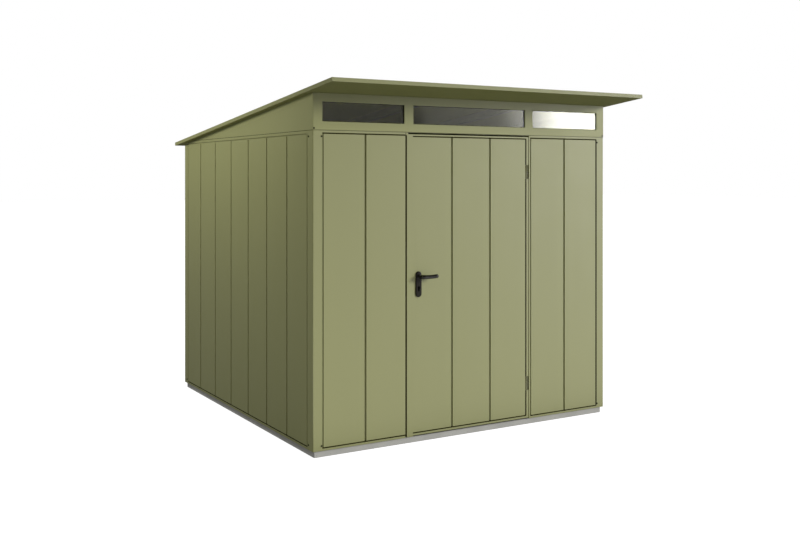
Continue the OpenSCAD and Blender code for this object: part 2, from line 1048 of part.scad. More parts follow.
// A lever on its axis: journal, neck, bend and arm, standing off towards -Y.
module lever() {
    neck_start = plate_t + lever_play;
    bend_y = lever_reach - lever_bend_r;
    rotate([90, 0, 0])
        cylinder(r = journal_r, h = neck_start + eps);
    translate([0, -neck_start, 0])
        rotate([90, 0, 0])
            cylinder(r = lever_r, h = bend_y - neck_start);
    translate([lever_bend_r, -bend_y, 0])
        rotate([0, 0, 180])
            rotate_extrude(angle = 90)
                translate([lever_bend_r, 0])
                    circle(lever_r);
    translate([lever_bend_r, -lever_reach, 0])
        rotate([0, 90, 0])
            cylinder(r = lever_r, h = lever_len - lever_bend_r - lever_r);
    translate([lever_len - lever_r, -lever_reach, 0])
        sphere(lever_r);
}

module outer_lever() {
    color(black)
        on_front()
            translate([lever_x, 0, lever_h])
                lever();
}

module inner_lever() {
    color(black)
        on_front()
            translate([lever_x, leaf_t, lever_h])
                mirror([0, 1, 0])
                    lever();
}

module lever_spindle() {
    color(steel)
        on_front()
            along_y(lever_x, lever_h, 0, leaf_t)
                circle(spindle_r);
}

base_slab();
front_left_post();
front_right_post();
back_left_post();
back_right_post();
front_sill_rails();
left_sill_rail();
right_sill_rail();
back_sill_rail();
front_top_rails();
left_top_rail();
right_top_rail();
back_top_rail();
front_left_boards();
front_right_boards();
left_wall_boards();
right_wall_boards();
back_wall_boards();
left_gable();
right_gable();
transom_panel();
transom_back_frame();
left_window_pane();
centre_window_pane();
right_window_pane();
lock_side_jamb();
hinge_side_jamb();
door_head();
strike_plate();
roof_lining();
roof_panels();
roof_seam_caps();
roof_rafters();
front_fascia();
rear_fascia();
left_fascia();
right_fascia();
hinge_frame_halves();
door_skin();
door_back_panel();
hinge_door_halves();
lock_face_plate();
outer_lever_plate();
inner_lever_plate();
lock_cylinder();
outer_lever();
inner_lever();
lever_spindle();
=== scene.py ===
# %% [markdown]
# # A sheet-steel garden shed
# The solids of this shed come packed from CAD, with every size and joint already right. This lesson
# dresses them: it sets the photograph's camera and light, gives each surface its finish, rounds the
# folded edges, and models the small pieces that the solids leave plain. Every length is in metres,
# and the origin is the middle of the base's underside, with the door facing -Y.

# %% Load the frame
import json
from math import cos, pi, radians, sin

import bmesh
import bpy
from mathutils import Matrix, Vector


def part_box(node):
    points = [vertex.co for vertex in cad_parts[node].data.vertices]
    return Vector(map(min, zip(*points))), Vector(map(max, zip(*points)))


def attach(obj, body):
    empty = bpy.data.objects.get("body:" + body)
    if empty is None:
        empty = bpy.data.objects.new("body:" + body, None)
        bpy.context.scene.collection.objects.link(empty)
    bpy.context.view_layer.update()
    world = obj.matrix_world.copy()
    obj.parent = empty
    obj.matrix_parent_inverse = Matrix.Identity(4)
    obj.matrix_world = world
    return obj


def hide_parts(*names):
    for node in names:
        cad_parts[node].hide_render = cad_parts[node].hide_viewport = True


MM = 0.001
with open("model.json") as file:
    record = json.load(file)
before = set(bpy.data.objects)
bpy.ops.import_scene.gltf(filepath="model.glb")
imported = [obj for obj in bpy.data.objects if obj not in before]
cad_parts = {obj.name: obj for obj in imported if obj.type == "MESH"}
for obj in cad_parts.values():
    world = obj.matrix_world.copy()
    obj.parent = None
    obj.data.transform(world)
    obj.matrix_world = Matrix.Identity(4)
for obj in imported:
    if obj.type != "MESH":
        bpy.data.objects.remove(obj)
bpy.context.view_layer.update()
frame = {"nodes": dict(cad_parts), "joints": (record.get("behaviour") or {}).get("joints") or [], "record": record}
nodes = frame["nodes"]
scene = bpy.context.scene
scene.view_settings.view_transform = "Standard"
print("CAD nodes:", len(nodes))

# %% [markdown]
# ## Camera
# The photograph was taken at eye height, left of the door, with the camera held level so that the
# upright edges stay parallel. A level camera sees too much sky, so the lens is shifted down instead
# of being tilted. The numbers come from fitting a camera to the shed's straight edges.

# %% Camera
CAMERA_PLACE = (-3.8435, -6.5587, 1.7412)
CAMERA_TURN = -30.05
SENSOR_WIDTH = 36
FOCAL_LENGTH = 43.79
LENS_SHIFT = (0.02925, -0.1132)
bpy.ops.object.select_all(action="DESELECT")
bpy.ops.object.camera_add(location=CAMERA_PLACE, rotation=(radians(90), 0, radians(CAMERA_TURN)))
camera = bpy.context.object
camera.name = "camera"
camera.data.sensor_width = SENSOR_WIDTH
camera.data.lens = FOCAL_LENGTH
camera.data.shift_x, camera.data.shift_y = LENS_SHIFT
scene.camera = camera
print("camera height:", round(camera.location.z, 2), "m")

# %% [markdown]
# ## Node helpers
# Materials below are built from nodes in code. One short helper adds a node and fills its inputs:
# an input that is given a socket is linked to it, and any other value is typed into the input. The
# others are the three small sums that every material here needs.


# %% Node helpers
def add_node(tree, kind, inputs=None, **properties):
    """Adds a node to a tree, sets its properties, and links or sets its inputs."""
    node = tree.nodes.new(kind)
    for name, value in properties.items():
        setattr(node, name, value)
    for name, value in (inputs or {}).items():
        if isinstance(value, bpy.types.NodeSocket):
            tree.links.new(value, node.inputs[name])
        else:
            node.inputs[name].default_value = value
    return node


def math_node(tree, operation, first, second):
    """The output of a Math node."""
    return add_node(tree, "ShaderNodeMath", {0: first, 1: second}, operation=operation).outputs[0]


def shade(tree, colour, tone):
    """A colour multiplied by a tone; a Mix node's inputs 6 and 7 are its two colours."""
    inputs = {0: 1.0, 6: colour, 7: tone}
    return add_node(tree, "ShaderNodeMix", inputs, data_type="RGBA", blend_type="MULTIPLY").outputs[2]


def remap(tree, value, low, high, start=0.0, end=1.0):
    """Stretches a value between start and end to the range from low to high."""
    inputs = {"Value": value, "From Min": start, "From Max": end, "To Min": low, "To Max": high}
    return add_node(tree, "ShaderNodeMapRange", inputs).outputs[0]


print("node helpers ready")

# %% [markdown]
# ## World and floor
# The photograph has a clean white background with hardly any shadow. The camera therefore sees a
# white world and an almost white floor, while the object is lit by a dimmer dome. Reflections see
# the same background, dimmed as the dark panes of the photograph show it. The floor still takes the
# shed's shadow, because part of its brightness is light that falls on it.

# %% World and floor
DOME_LEVEL = 0.42
REFLECTED_LEVEL = 0.08
FLOOR_ALBEDO = 0.36
FLOOR_GLOW = 0.93
FLOOR_SIZE = 120
FLOOR_DROP = 0.5 * MM


def background_level(tree):
    """How bright a ray sees the background, and whether it is a reflected ray."""
    rays = add_node(tree, "ShaderNodeLightPath").outputs
    reflected = math_node(tree, "MULTIPLY", rays["Is Glossy Ray"], REFLECTED_LEVEL)
    direct = math_node(tree, "MAXIMUM", rays["Is Camera Ray"], rays["Is Transmission Ray"])
    return math_node(tree, "MAXIMUM", direct, reflected), rays["Is Glossy Ray"]


scene.world = bpy.data.worlds.new("studio")
scene.world.use_nodes = True
tree = scene.world.node_tree
tree.nodes.clear()
level, glossy = background_level(tree)
dome = math_node(tree, "MULTIPLY", math_node(tree, "SUBTRACT", 1.0, glossy), DOME_LEVEL)
strength = math_node(tree, "MAXIMUM", level, dome)
sky = add_node(tree, "ShaderNodeBackground", {"Color": (1, 1, 1, 1), "Strength": strength})
add_node(tree, "ShaderNodeOutputWorld", {"Surface": sky.outputs[0]})

floor_finish = bpy.data.materials.new("floor_finish")
floor_finish.use_nodes = True
tree = floor_finish.node_tree
tree.nodes.clear()
level, glossy = background_level(tree)
matt = add_node(tree, "ShaderNodeBsdfDiffuse", {"Color": (FLOOR_ALBEDO,) * 3 + (1,)})
strength = math_node(tree, "MULTIPLY", level, FLOOR_GLOW)
glow = add_node(tree, "ShaderNodeEmission", {"Strength": strength})
both = add_node(tree, "ShaderNodeAddShader", {0: matt.outputs[0], 1: glow.outputs[0]})
add_node(tree, "ShaderNodeOutputMaterial", {"Surface": both.outputs[0]})

bpy.ops.object.select_all(action="DESELECT")
bpy.ops.mesh.primitive_plane_add(size=FLOOR_SIZE, location=(0, 0, -FLOOR_DROP))
floor = bpy.context.object
floor.name = "floor"
floor.data.materials.append(floor_finish)
print("floor and world ready")

# %% [markdown]
# ## Lamp helpers
# A lamp shines along its own -Z axis, so each one is turned from its place towards a target. An
# area lamp stands for a softbox or a white card. Its radiance says how bright its face looks, and
# Blender asks for the power that this makes over the whole face. A card can fade across its width.

# %% Lamp helpers
FRONT_MIDDLE = Vector((0, -1.19, 1.2))


def add_lamp(kind, name, place, target):
    """A lamp of this kind at a place, turned towards its target."""
    turn = (Vector(target) - Vector(place)).to_track_quat("-Z", "Y").to_euler()
    bpy.ops.object.light_add(type=kind, location=place, rotation=turn)
    lamp = bpy.context.object
    lamp.name = name
    return lamp


def add_softbox(name, place, target, size, radiance):
    """An area lamp of this size and radiance that the camera doesn't see."""
    lamp = add_lamp("AREA", name, place, target)
    lamp.data.shape = "RECTANGLE"
    lamp.data.size, lamp.data.size_y = size
    lamp.data.energy = radiance * pi * size[0] * size[1]
    lamp.visible_camera = False
    return lamp


def from_front(azimuth, elevation, distance):
    """A place at this distance, turned right of the door's front and raised, both in degrees."""
    turn, rise = radians(azimuth), radians(elevation)
    way = Vector((cos(rise) * sin(turn), -cos(rise) * cos(turn), sin(rise)))
    return FRONT_MIDDLE + distance * way


def fade_sideways(lamp, levels):
    """Fades a lamp across its width through levels of (place from 0 to 1, share of its radiance)."""
    lamp.data.use_nodes = True
    tree = lamp.data.node_tree
    tree.nodes.clear()
    across = add_node(tree, "ShaderNodeNewGeometry").outputs["Parametric"]
    place = add_node(tree, "ShaderNodeSeparateXYZ", {0: across}).outputs[0]
    ramp = add_node(tree, "ShaderNodeValToRGB", {0: place})
    points = ramp.color_ramp.elements
    while len(points) < len(levels):
        points.new(0.5)
    for point, (position, level) in zip(points, levels):
        point.position = position
        point.color = (level, level, level, 1)
    glow = add_node(tree, "ShaderNodeEmission", {"Strength": ramp.outputs[0]})
    add_node(tree, "ShaderNodeOutputLight", {0: glow.outputs[0]})


print("lamp helpers ready")

# %% [markdown]
# ## Lamps
# The right pane mirrors a tall, soft white card right of the camera, and the lever's shadow falls
# to the left and down. A wide sun from that side lights the whole front evenly. Mirror images don't
# see the sun but a card in the same direction, which fades out to its left, so that its image in
# the panes has a soft edge. A card on the floor gives the paint the sheen of a bright studio floor,
# and a strip lamp brightens the left wall towards its back and top.

# %% Lamps
KEY_AZIMUTH, KEY_ELEVATION, KEY_DISTANCE = 48, 17, 18
KEY_SPREAD = 20
KEY_LEVEL = 2.47
CARD_ELEVATION, CARD_DISTANCE = 10, 20
CARD_SIZE = (11.5, 9.0)
CARD_LEVEL = 16.0
CARD_FADE = [(0.0, 0.022), (0.1, 0.035), (0.19, 0.056), (0.258, 0.235), (0.346, 1.0)]
FLOOR_CARD_PLACE = Vector((0.9, -5.95, 0.01))
FLOOR_CARD_SIZE = (9, 9.1)
FLOOR_CARD_LEVEL = 2.5
STRIP_PLACE, STRIP_TARGET = (-2.5, 1.05, 2.48), (-1.19, 1.0, 1.9)
STRIP_SIZE = (4.0, 0.4)
STRIP_LEVEL = 5.9
UP = Vector((0, 0, 1))

key = add_lamp("SUN", "key_light", from_front(KEY_AZIMUTH, KEY_ELEVATION, KEY_DISTANCE), FRONT_MIDDLE)
key.data.angle = radians(KEY_SPREAD)
key.data.energy = KEY_LEVEL
key.visible_glossy = False
card_place = from_front(KEY_AZIMUTH, CARD_ELEVATION, CARD_DISTANCE)
card = add_softbox("reflected_card", card_place, FRONT_MIDDLE, CARD_SIZE, CARD_LEVEL)
card.visible_diffuse = False
fade_sideways(card, CARD_FADE)
floor_card = add_softbox(
    "floor_card", FLOOR_CARD_PLACE, FLOOR_CARD_PLACE + UP, FLOOR_CARD_SIZE, FLOOR_CARD_LEVEL
)
floor_card.visible_diffuse = False
strip = add_softbox("side_strip", STRIP_PLACE, STRIP_TARGET, STRIP_SIZE, STRIP_LEVEL)
strip.visible_glossy = False
print("lamps:", key.name, card.name, floor_card.name, strip.name)

# %% [markdown]
# ## Skins
# What a surface looks like close up, such as grain, clouds or pores, is made once as a node group
# and then shared by every finish of that kind. Each of these skins takes a colour and a roughness,
# and puts out both with their variation, and a normal. They read Object coordinates, so a pattern
# stays put on its piece in every pose. The scale of a noise is in features per metre.

# %% Skins
SKIN_SOCKETS = {
    "Colour": "NodeSocketColor",
    "Roughness": "NodeSocketFloat",
    "Normal": "NodeSocketVector",
}


def new_skin(name):
    """A node group for a surface, its given colour and roughness, and the place on the piece."""
    skin = bpy.data.node_groups.new(name, "ShaderNodeTree")
    for socket, kind in SKIN_SOCKETS.items():
        skin.interface.new_socket(socket, in_out="OUTPUT", socket_type=kind)
        if socket != "Normal":
            skin.interface.new_socket(socket, in_out="INPUT", socket_type=kind)
    given = add_node(skin, "NodeGroupInput").outputs
    place = add_node(skin, "ShaderNodeTexCoord").outputs["Object"]
    return skin, given["Colour"], given["Roughness"], place


def close_skin(skin, colour, roughness, normal):
    """Links a surface's colour, roughness and normal to the outputs of its group."""
    add_node(skin, "NodeGroupOutput", {"Colour": colour, "Roughness": roughness, "Normal": normal})
    print("skin:", skin.name)
    return skin


def noise(tree, coordinates, scale, detail=2):
    """The grey value of a noise texture on given coordinates."""
    inputs = {"Vector": coordinates, "Scale": scale, "Detail": detail}
    return add_node(tree, "ShaderNodeTexNoise", inputs).outputs["Fac"]


def bump(tree, height, depth, normal=None):
    """A normal bent by a height of this depth, on top of another normal."""
    inputs = {"Height": height, "Distance": depth, "Strength": 1.0}
    if normal:
        inputs["Normal"] = normal
    return add_node(tree, "ShaderNodeBump", inputs).outputs[0]


print("skin helpers ready")

# %% [markdown]
# ## Powder coat
# Every sheet is powder-coated: a satin, slightly pebbled coat ("orange peel") on a thin sheet that
# is never perfectly flat. Broad waves bend the sheet's reflections, fine peel sits on top of them,
# and clouds and grain vary the tone by a few percent.

# %% Powder coat
CLOUDS, GLOSS_CLOUDS, WAVES, GRAIN, PEEL = 1.1, 7.0, 2.4, 420.0, 480.0
CLOUD_TONES, GRAIN_TONES, CLOUD_GLOSS = (0.965, 1.035), (0.97, 1.03), (-0.05, 0.05)
WAVE_DEPTH, PEEL_DEPTH = 0.5 * MM, 0.02 * MM
tree, colour, roughness, place = new_skin("powder_coat")
cloud = remap(tree, noise(tree, place, CLOUDS, detail=3), *CLOUD_TONES)
grain = remap(tree, noise(tree, place, GRAIN), *GRAIN_TONES)
gloss = remap(tree, noise(tree, place, GLOSS_CLOUDS, detail=4), *CLOUD_GLOSS)
waves = bump(tree, noise(tree, place, WAVES, detail=1), WAVE_DEPTH)
powder_coat = close_skin(
    tree,
    shade(tree, colour, math_node(tree, "MULTIPLY", cloud, grain)),
    math_node(tree, "ADD", roughness, gloss),
    bump(tree, noise(tree, place, PEEL, detail=1), PEEL_DEPTH, waves),
)

# %% [markdown]
# ## Paints
# A finish is a Principled material that takes its colour, roughness and normal from a skin. The
# hinges have the same coat as the walls in a darker tone, which is painted shade, and the roof's
# trims have one a shade deeper, painted shade for trims that catch more light. The transom under the
# eaves has a lighter tone, which paints light into the eaves' shade, and less sheen; the lining has a
# darker, matt one, whose tone is painted shade.

# %% Paints
SHADER_SOCKETS = {
    "ior": "IOR",
    "specular": "Specular IOR Level",
    "metallic": "Metallic",
    "transmission": "Transmission Weight",
}
# The walls' paint, then tones of it that paint shade on hinges, trims and lining and light on the transom.
GREEN = (0.262, 0.266, 0.110)
TRIM_SHADE_GREEN = (0.23, 0.234, 0.097)
TRANSOM_LIT_GREEN = (0.28, 0.285, 0.112)
LINING_SHADE_GREEN = (0.242, 0.246, 0.095)
HINGE_SHADE_GREEN = (0.165, 0.167, 0.072)


def new_finish(name, skin, colour, roughness, **shader):
    """A Principled material with a skin, its colour and roughness, and values for other sockets."""
    finish = bpy.data.materials.new(name)
    finish.use_nodes = True
    tree = finish.node_tree
    tree.nodes.clear()
    given = {"Colour": (*colour, 1), "Roughness": roughness}
    surface = add_node(tree, "ShaderNodeGroup", given, node_tree=skin).outputs
    inputs = {SHADER_SOCKETS[socket]: value for socket, value in shader.items()}
    inputs["Base Color"] = surface["Colour"]
    inputs["Roughness"] = surface["Roughness"]
    inputs["Normal"] = surface["Normal"]
    shader_node = add_node(tree, "ShaderNodeBsdfPrincipled", inputs)
    add_node(tree, "ShaderNodeOutputMaterial", {"Surface": shader_node.outputs[0]})
    print("finish:", name)
    return finish


green_paint = new_finish("green_paint", powder_coat, GREEN, roughness=0.48, ior=1.4)
hinge_paint = new_finish("hinge_paint", powder_coat, HINGE_SHADE_GREEN, roughness=0.5, ior=1.4)
trim_shade_paint = new_finish("trim_shade_paint", powder_coat, TRIM_SHADE_GREEN, roughness=0.53, ior=1.4)
transom_lit_paint = new_finish(
    "transom_lit_paint", powder_coat, TRANSOM_LIT_GREEN, roughness=0.48, ior=1.4, specular=0.38
)
lining_shade_paint = new_finish(
    "lining_shade_paint", powder_coat, LINING_SHADE_GREEN, roughness=0.65, ior=1.4, specular=0.05
)

# %% [markdown]
# ## Concrete
# The base is cast concrete: cloudy grey, with fine sand grain and a few small open pores. Pores are
# the middles of a fine cell texture, and they sink into the surface as well as darken it with painted
# shade.

# %% Concrete
CONCRETE_GREY = (0.45, 0.445, 0.412)
PORES, STAINS, SAND, LUMPS = 60.0, 5.0, 350.0, 220.0
STAIN_TONES, SAND_TONES, PORE_SHADE_TONES = (0.78, 1.22), (0.88, 1.12), (0.7, 1.0)
STAIN_GLOSS = (1.0, 0.9)
PORE_EDGE = (0.08, 0.16)
PORE_DEPTH, LUMP_DEPTH = 0.8 * MM, 0.4 * MM
tree, colour, roughness, place = new_skin("cast_concrete")
cells = add_node(tree, "ShaderNodeTexVoronoi", {"Vector": place, "Scale": PORES})
solid = remap(tree, cells.outputs["Distance"], 0.0, 1.0, *PORE_EDGE)
stains = remap(tree, noise(tree, place, STAINS, detail=6), *STAIN_TONES)
sand = remap(tree, noise(tree, place, SAND, detail=3), *SAND_TONES)
mottled = math_node(tree, "MULTIPLY", stains, sand)
tone = math_node(tree, "MULTIPLY", mottled, remap(tree, solid, *PORE_SHADE_TONES))
lumps = bump(tree, noise(tree, place, LUMPS, detail=4), LUMP_DEPTH)
cast_concrete = close_skin(
    tree,
    shade(tree, colour, tone),
    math_node(tree, "MULTIPLY", roughness, remap(tree, stains, *STAIN_GLOSS)),
    bump(tree, solid, PORE_DEPTH, lumps),
)
concrete = new_finish("concrete", cast_concrete, CONCRETE_GREY, roughness=0.9, ior=1.45)

# %% [markdown]
# ## Zinc
# Strike and face plate are zinc-plated: a metal whose crystals ("spangle") differ a little in tone
# and gloss, which a cell texture gives. The rafters' zinc has gone dull, and its darker tone is
# painted shade that keeps the room behind the panes dark.

# %% Zinc
ZINC = (0.46, 0.46, 0.45)
# The rafters' darker zinc is painted shade.
SHADED_ZINC = (0.23, 0.23, 0.22)
CRYSTALS, ZINC_WAVES = 110.0, 90.0
CRYSTAL_TONES, CRYSTAL_GLOSS = (0.86, 1.1), (-0.08, 0.08)
ZINC_DEPTH = 0.05 * MM


def one_pattern_skin(tree, colour, roughness, pattern, tones, gloss, normal):
    """Closes a skin whose tone and gloss follow the same pattern."""
    toned = shade(tree, colour, remap(tree, pattern, *tones))
    varied = math_node(tree, "ADD", roughness, remap(tree, pattern, *gloss))
    return close_skin(tree, toned, varied, normal)


tree, colour, roughness, place = new_skin("spangle")
cells = add_node(tree, "ShaderNodeTexVoronoi", {"Vector": place, "Scale": CRYSTALS})
crystal = add_node(tree, "ShaderNodeSeparateColor", {0: cells.outputs["Color"]}).outputs[0]
normal = bump(tree, noise(tree, place, ZINC_WAVES), ZINC_DEPTH)
spangle = one_pattern_skin(tree, colour, roughness, crystal, CRYSTAL_TONES, CRYSTAL_GLOSS, normal)
bare_steel = new_finish("bare_steel", spangle, ZINC, roughness=0.6, metallic=1.0)
shaded_zinc = new_finish("shaded_zinc", spangle, SHADED_ZINC, roughness=0.8, metallic=1.0)

# %% [markdown]
# ## Black fittings and rubber
# The lever set is black and satin, glossier on the levers that hands polish. The plates' black is a
# touch lighter than the levers', which paints a sheen on them, and the lock's near-black paints the
# shade of its keyway and pit. The seals are matt rubber, tinted olive as painted shade for the gaps
# and grooves they sit in. They share a fine moulded grain, with smears that vary tone and gloss
# together.

# %% Black fittings and rubber
# Painted light and shade: the plates' lighter black, the lock's near-black and the rubber's olive.
FITTING_BLACK = (0.0155, 0.0132, 0.0095)
LEVER_BLACK = (0.012, 0.0103, 0.0075)
LOCK_SHADE_BLACK = (0.0012, 0.001, 0.0008)
RUBBER_SHADE_OLIVE = (0.0085, 0.008, 0.002)
SMEARS, MOULD_GRAIN = 45.0, 900.0
SMEAR_TONES, SMEAR_GLOSS = (0.8, 1.2), (-0.06, 0.06)
MOULD_DEPTH = 0.02 * MM
tree, colour, roughness, place = new_skin("moulded_grain")
smear = noise(tree, place, SMEARS, detail=3)
normal = bump(tree, noise(tree, place, MOULD_GRAIN), MOULD_DEPTH)
moulded_grain = one_pattern_skin(tree, colour, roughness, smear, SMEAR_TONES, SMEAR_GLOSS, normal)
black_fittings = new_finish(
    "black_fittings", moulded_grain, FITTING_BLACK, roughness=0.3, ior=1.5, specular=0.07
)
lever_black = new_finish(
    "lever_black", moulded_grain, LEVER_BLACK, roughness=0.26, ior=1.5, specular=0.16
)
lock_shade_black = new_finish(
    "lock_shade_black", moulded_grain, LOCK_SHADE_BLACK, roughness=0.6, ior=1.5, specular=0.01
)
shade_rubber = new_finish("shade_rubber", moulded_grain, RUBBER_SHADE_OLIVE, roughness=0.68, ior=1.45, specular=0.03)

# %% [markdown]
# ## Glass
# The panes are clear float glass with a faint warm tint and a thin film of dust. Transmission lets
# the dark room show through, and the mirror image of the card comes from the shader's own
# reflection.

# %% Glass
GLASS_TINT = (0.93, 0.92, 0.74)
DUST, GLASS_WAVES = 14.0, 1.7
DUST_TONES, DUST_GLOSS = (0.94, 1.0), (0.0, 0.03)
GLASS_DEPTH = 0.05 * MM
tree, colour, roughness, place = new_skin("dusty_film")
film = noise(tree, place, DUST, detail=5)
normal = bump(tree, noise(tree, place, GLASS_WAVES, detail=0), GLASS_DEPTH)
dusty_film = one_pattern_skin(tree, colour, roughness, film, DUST_TONES, DUST_GLOSS, normal)
window_glass = new_finish(
    "window_glass", dusty_film, GLASS_TINT, roughness=0.02, ior=1.5, transmission=1.0
)

# %% [markdown]
# ## Dress the solids
# Each CAD node already says which finish it has, and a few take a special tone of it: the trims, the
# transom, the lining, the rafters and the lock cylinder, whose tones paint light or shade. Real sheets
# have no razor edges, so a live Weld joins the loose triangles of each solid and a live Bevel rounds
# its edges: hairline on sheets, more on the cast base. Modifiers leave the CAD mesh itself as it came.

# %% Dress the solids
FINISHES = {
    "green_paint": green_paint,
    "hinge_paint": hinge_paint,
    "concrete": concrete,
    "window_glass": window_glass,
    "bare_steel": bare_steel,
    "black_fittings": black_fittings,
}
SPECIAL_FINISHES = {side + "_fascia": trim_shade_paint for side in ("front", "rear", "left", "right")}
SPECIAL_FINISHES.update({
    "transom_panel": transom_lit_paint, "roof_lining": lining_shade_paint,
    "roof_rafters": shaded_zinc, "lock_cylinder": lock_shade_black,
})
MERGE = 0.01 * MM
EDGE_RADIUS = 0.6 * MM
EDGE_ANGLE = 40
SPECIAL_EDGES = {"base_slab": 5 * MM, "transom_panel": 1.5 * MM, "roof_seam_caps": 2 * MM}

for row in frame["record"]["subparts"]:
    solid = nodes[row["node"]]
    for holder in solid.material_slots:
        holder.material = SPECIAL_FINISHES.get(row["node"], FINISHES[row["material_slot"]])
    weld = solid.modifiers.new("join_triangles", "WELD")
    weld.merge_threshold = MERGE
    edge = solid.modifiers.new("round_edges", "BEVEL")
    edge.width = SPECIAL_EDGES.get(row["node"], EDGE_RADIUS)
    edge.segments = 2
    edge.limit_method = "ANGLE"
    edge.angle_limit = radians(EDGE_ANGLE)
    edge.harden_normals = True

# %% [markdown]
# ## Hand tools
# The small pieces are modelled as by hand: a primitive is added at its size and place and then
# shaped in edit mode. Operators act on whatever is selected, so these helpers clear the selection
# first, pick edges or faces by where they lie, and at the end put a piece's place into its mesh. A
# place counts as met when it is NEAR enough, and a direction when its share along an axis is over
# ALIGNED.

# %% Hand tools
NEAR = 0.01 * MM
ALIGNED = 0.9
SMOOTH_ANGLE = 35


def add_block(low, high):
    """A cube stretched between two corners."""
    size = Vector(abs(b - a) for a, b in zip(low, high))
    bpy.ops.object.select_all(action="DESELECT")
    bpy.ops.mesh.primitive_cube_add(size=1, location=(Vector(low) + Vector(high)) / 2, scale=size)
    bpy.ops.object.transform_apply()
    return bpy.context.object


def pick(kind, test):
    """In edit mode, selects the edges or faces whose middle, and direction or normal, pass a test."""
    bpy.ops.mesh.select_mode(type=kind)
    bpy.ops.mesh.select_all(action="DESELECT")
    shape = bmesh.from_edit_mesh(bpy.context.object.data)
    for item in shape.edges if kind == "EDGE" else shape.faces:
        corners = [corner.co for corner in item.verts]
        middle = sum(corners, Vector()) / len(corners)
        way = (corners[1] - corners[0]).normalized() if kind == "EDGE" else item.normal
        if test(middle, way):
            item.select_set(True)
    bmesh.update_edit_mesh(bpy.context.object.data)


def round_edges(test, radius, segments=2):
    """In edit mode, bevels the edges whose middle and direction pass a test."""
    pick("EDGE", test)
    bpy.ops.mesh.bevel(offset=radius, segments=segments, affect="EDGES")


def select_only(*pieces):
    """Selects these pieces and makes the first one active."""
    bpy.ops.object.select_all(action="DESELECT")
    for piece in pieces:
        piece.select_set(True)
    bpy.context.view_layer.objects.active = pieces[0]


def join(pieces):
    """Joins pieces into the first one."""
    select_only(*pieces)
    bpy.ops.object.join()
    return bpy.context.object


def copy_piece(piece):
    """A copy of a piece with a mesh of its own."""
    select_only(piece)
    bpy.ops.object.duplicate(linked=False)
    return bpy.context.object


def settle(piece, name, body, finish):
    """Puts a piece's place into its mesh and gives it its name, shading, finish and body."""
    select_only(piece)
    bpy.ops.object.transform_apply()
    bpy.ops.object.shade_smooth_by_angle(angle=radians(SMOOTH_ANGLE))
    piece.name = piece.data.name = name
    piece.data.materials.clear()
    piece.data.materials.append(finish)
    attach(piece, body)
    print(name, "faces:", len(piece.data.polygons))


print("hand tools ready")

# %% [markdown]
# ## Shade strips
# The boards end a little short of their frame, and dark olive strips set back in that groove paint
# its shade. They are the dark lines at the foot of every wall and over and under the front's boards,
# and the thin line under each gable. Each strip is a block set back in its groove, whose outer long
# edges are rounded by a bevel.

# %% Shade strips
GROOVE = 8 * MM
SET_BACK = 1 * MM
STRIP_PLAY = 0.3 * MM
STRIP_RADIUS = 1.2 * MM
# The strips' dark olive is painted shade.
SHADE_FOAM_OLIVE = (0.024, 0.0225, 0.006)
FRONT, BACK = Vector((0, -1, 0)), Vector((0, 1, 0))
LEFT, RIGHT = Vector((-1, 0, 0)), Vector((1, 0, 0))
shade_foam = new_finish("shade_foam", moulded_grain, SHADE_FOAM_OLIVE, roughness=0.9, ior=1.4, specular=0.03)


def add_strip(low, high, out, radius):
    """A long strip whose long edges on the outer side are rounded."""
    strip = add_block(low, high)
    face = max(out.dot(Vector(low)), out.dot(Vector(high)))
    size = [abs(b - a) for a, b in zip(low, high)]
    long_axis = size.index(max(size))

    def on_face(middle, way):
        return abs(out.dot(middle) - face) < NEAR and abs(way[long_axis]) > ALIGNED

    bpy.ops.object.mode_set(mode="EDIT")
    round_edges(on_face, radius, segments=3)
    bpy.ops.object.mode_set(mode="OBJECT")
    return strip


def shade_strip(out, face, span, bottom):
    """A dark strip that paints shade in a level groove of a wall that faces out and lies this far from the origin.
    """
    along = Vector((abs(out.y), abs(out.x), 0))
    low = out * (face - GROOVE) + along * span[0] + Vector((0, 0, bottom + STRIP_PLAY))
    high = out * (face - SET_BACK) + along * span[1] + Vector((0, 0, bottom + GROOVE - STRIP_PLAY))
    return add_strip(low, high, out, STRIP_RADIUS)


SILL_LIP = 13 * MM
FRONT_TOP_LIP = 13 * MM
post_low, post_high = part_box("front_left_post")
wall_face = -post_low.y
sill_groove = post_low.z + SILL_LIP
front_groove = post_high.z - FRONT_TOP_LIP - GROOVE
left_bay = (post_high.x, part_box("front_left_boards")[1].x)
right_bay = (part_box("hinge_side_jamb")[1].x, -post_high.x)
side_span = (post_high.y, -post_high.y)
back_span = (post_high.x, -post_high.x)
walls = ((LEFT, "left", side_span), (RIGHT, "right", side_span), (BACK, "back", back_span))
shade_strips = [shade_strip(out, wall_face, span, sill_groove) for out, _, span in walls]
for span in (left_bay, right_bay):
    shade_strips += [shade_strip(FRONT, wall_face, span, bottom) for bottom in (sill_groove, front_groove)]

SEAM = 3 * MM
SEAM_DEPTH = (0.4 * MM, 1.4 * MM)
GABLE_END = 0.97
for side in (-1, 1):
    outer, inner = (side * (wall_face - depth) for depth in SEAM_DEPTH)
    low = (min(outer, inner), -wall_face + SEAM, post_high.z + STRIP_PLAY)
    high = (max(outer, inner), GABLE_END, post_high.z + SEAM - STRIP_PLAY)
    shade_strips.append(add_strip(low, high, RIGHT * side, STRIP_PLAY))
settle(join(shade_strips), "wall_shade_strips", "shed", shade_foam)

# %% [markdown]
# ## Bay gasket
# The upright groove right of the right bay takes a dark rubber gasket instead, which paints the
# groove's shade, and whose lips lap over both of its edges. The lips are a thin block. The middle of
# its back is inset and extruded into the groove, and its upright front edges are rounded by a bevel.

# %% Bay gasket
LIP_PROUD = 0.4 * MM
LIP_ROUNDING = 0.8 * LIP_PROUD
BAY_LAP = 2 * MM


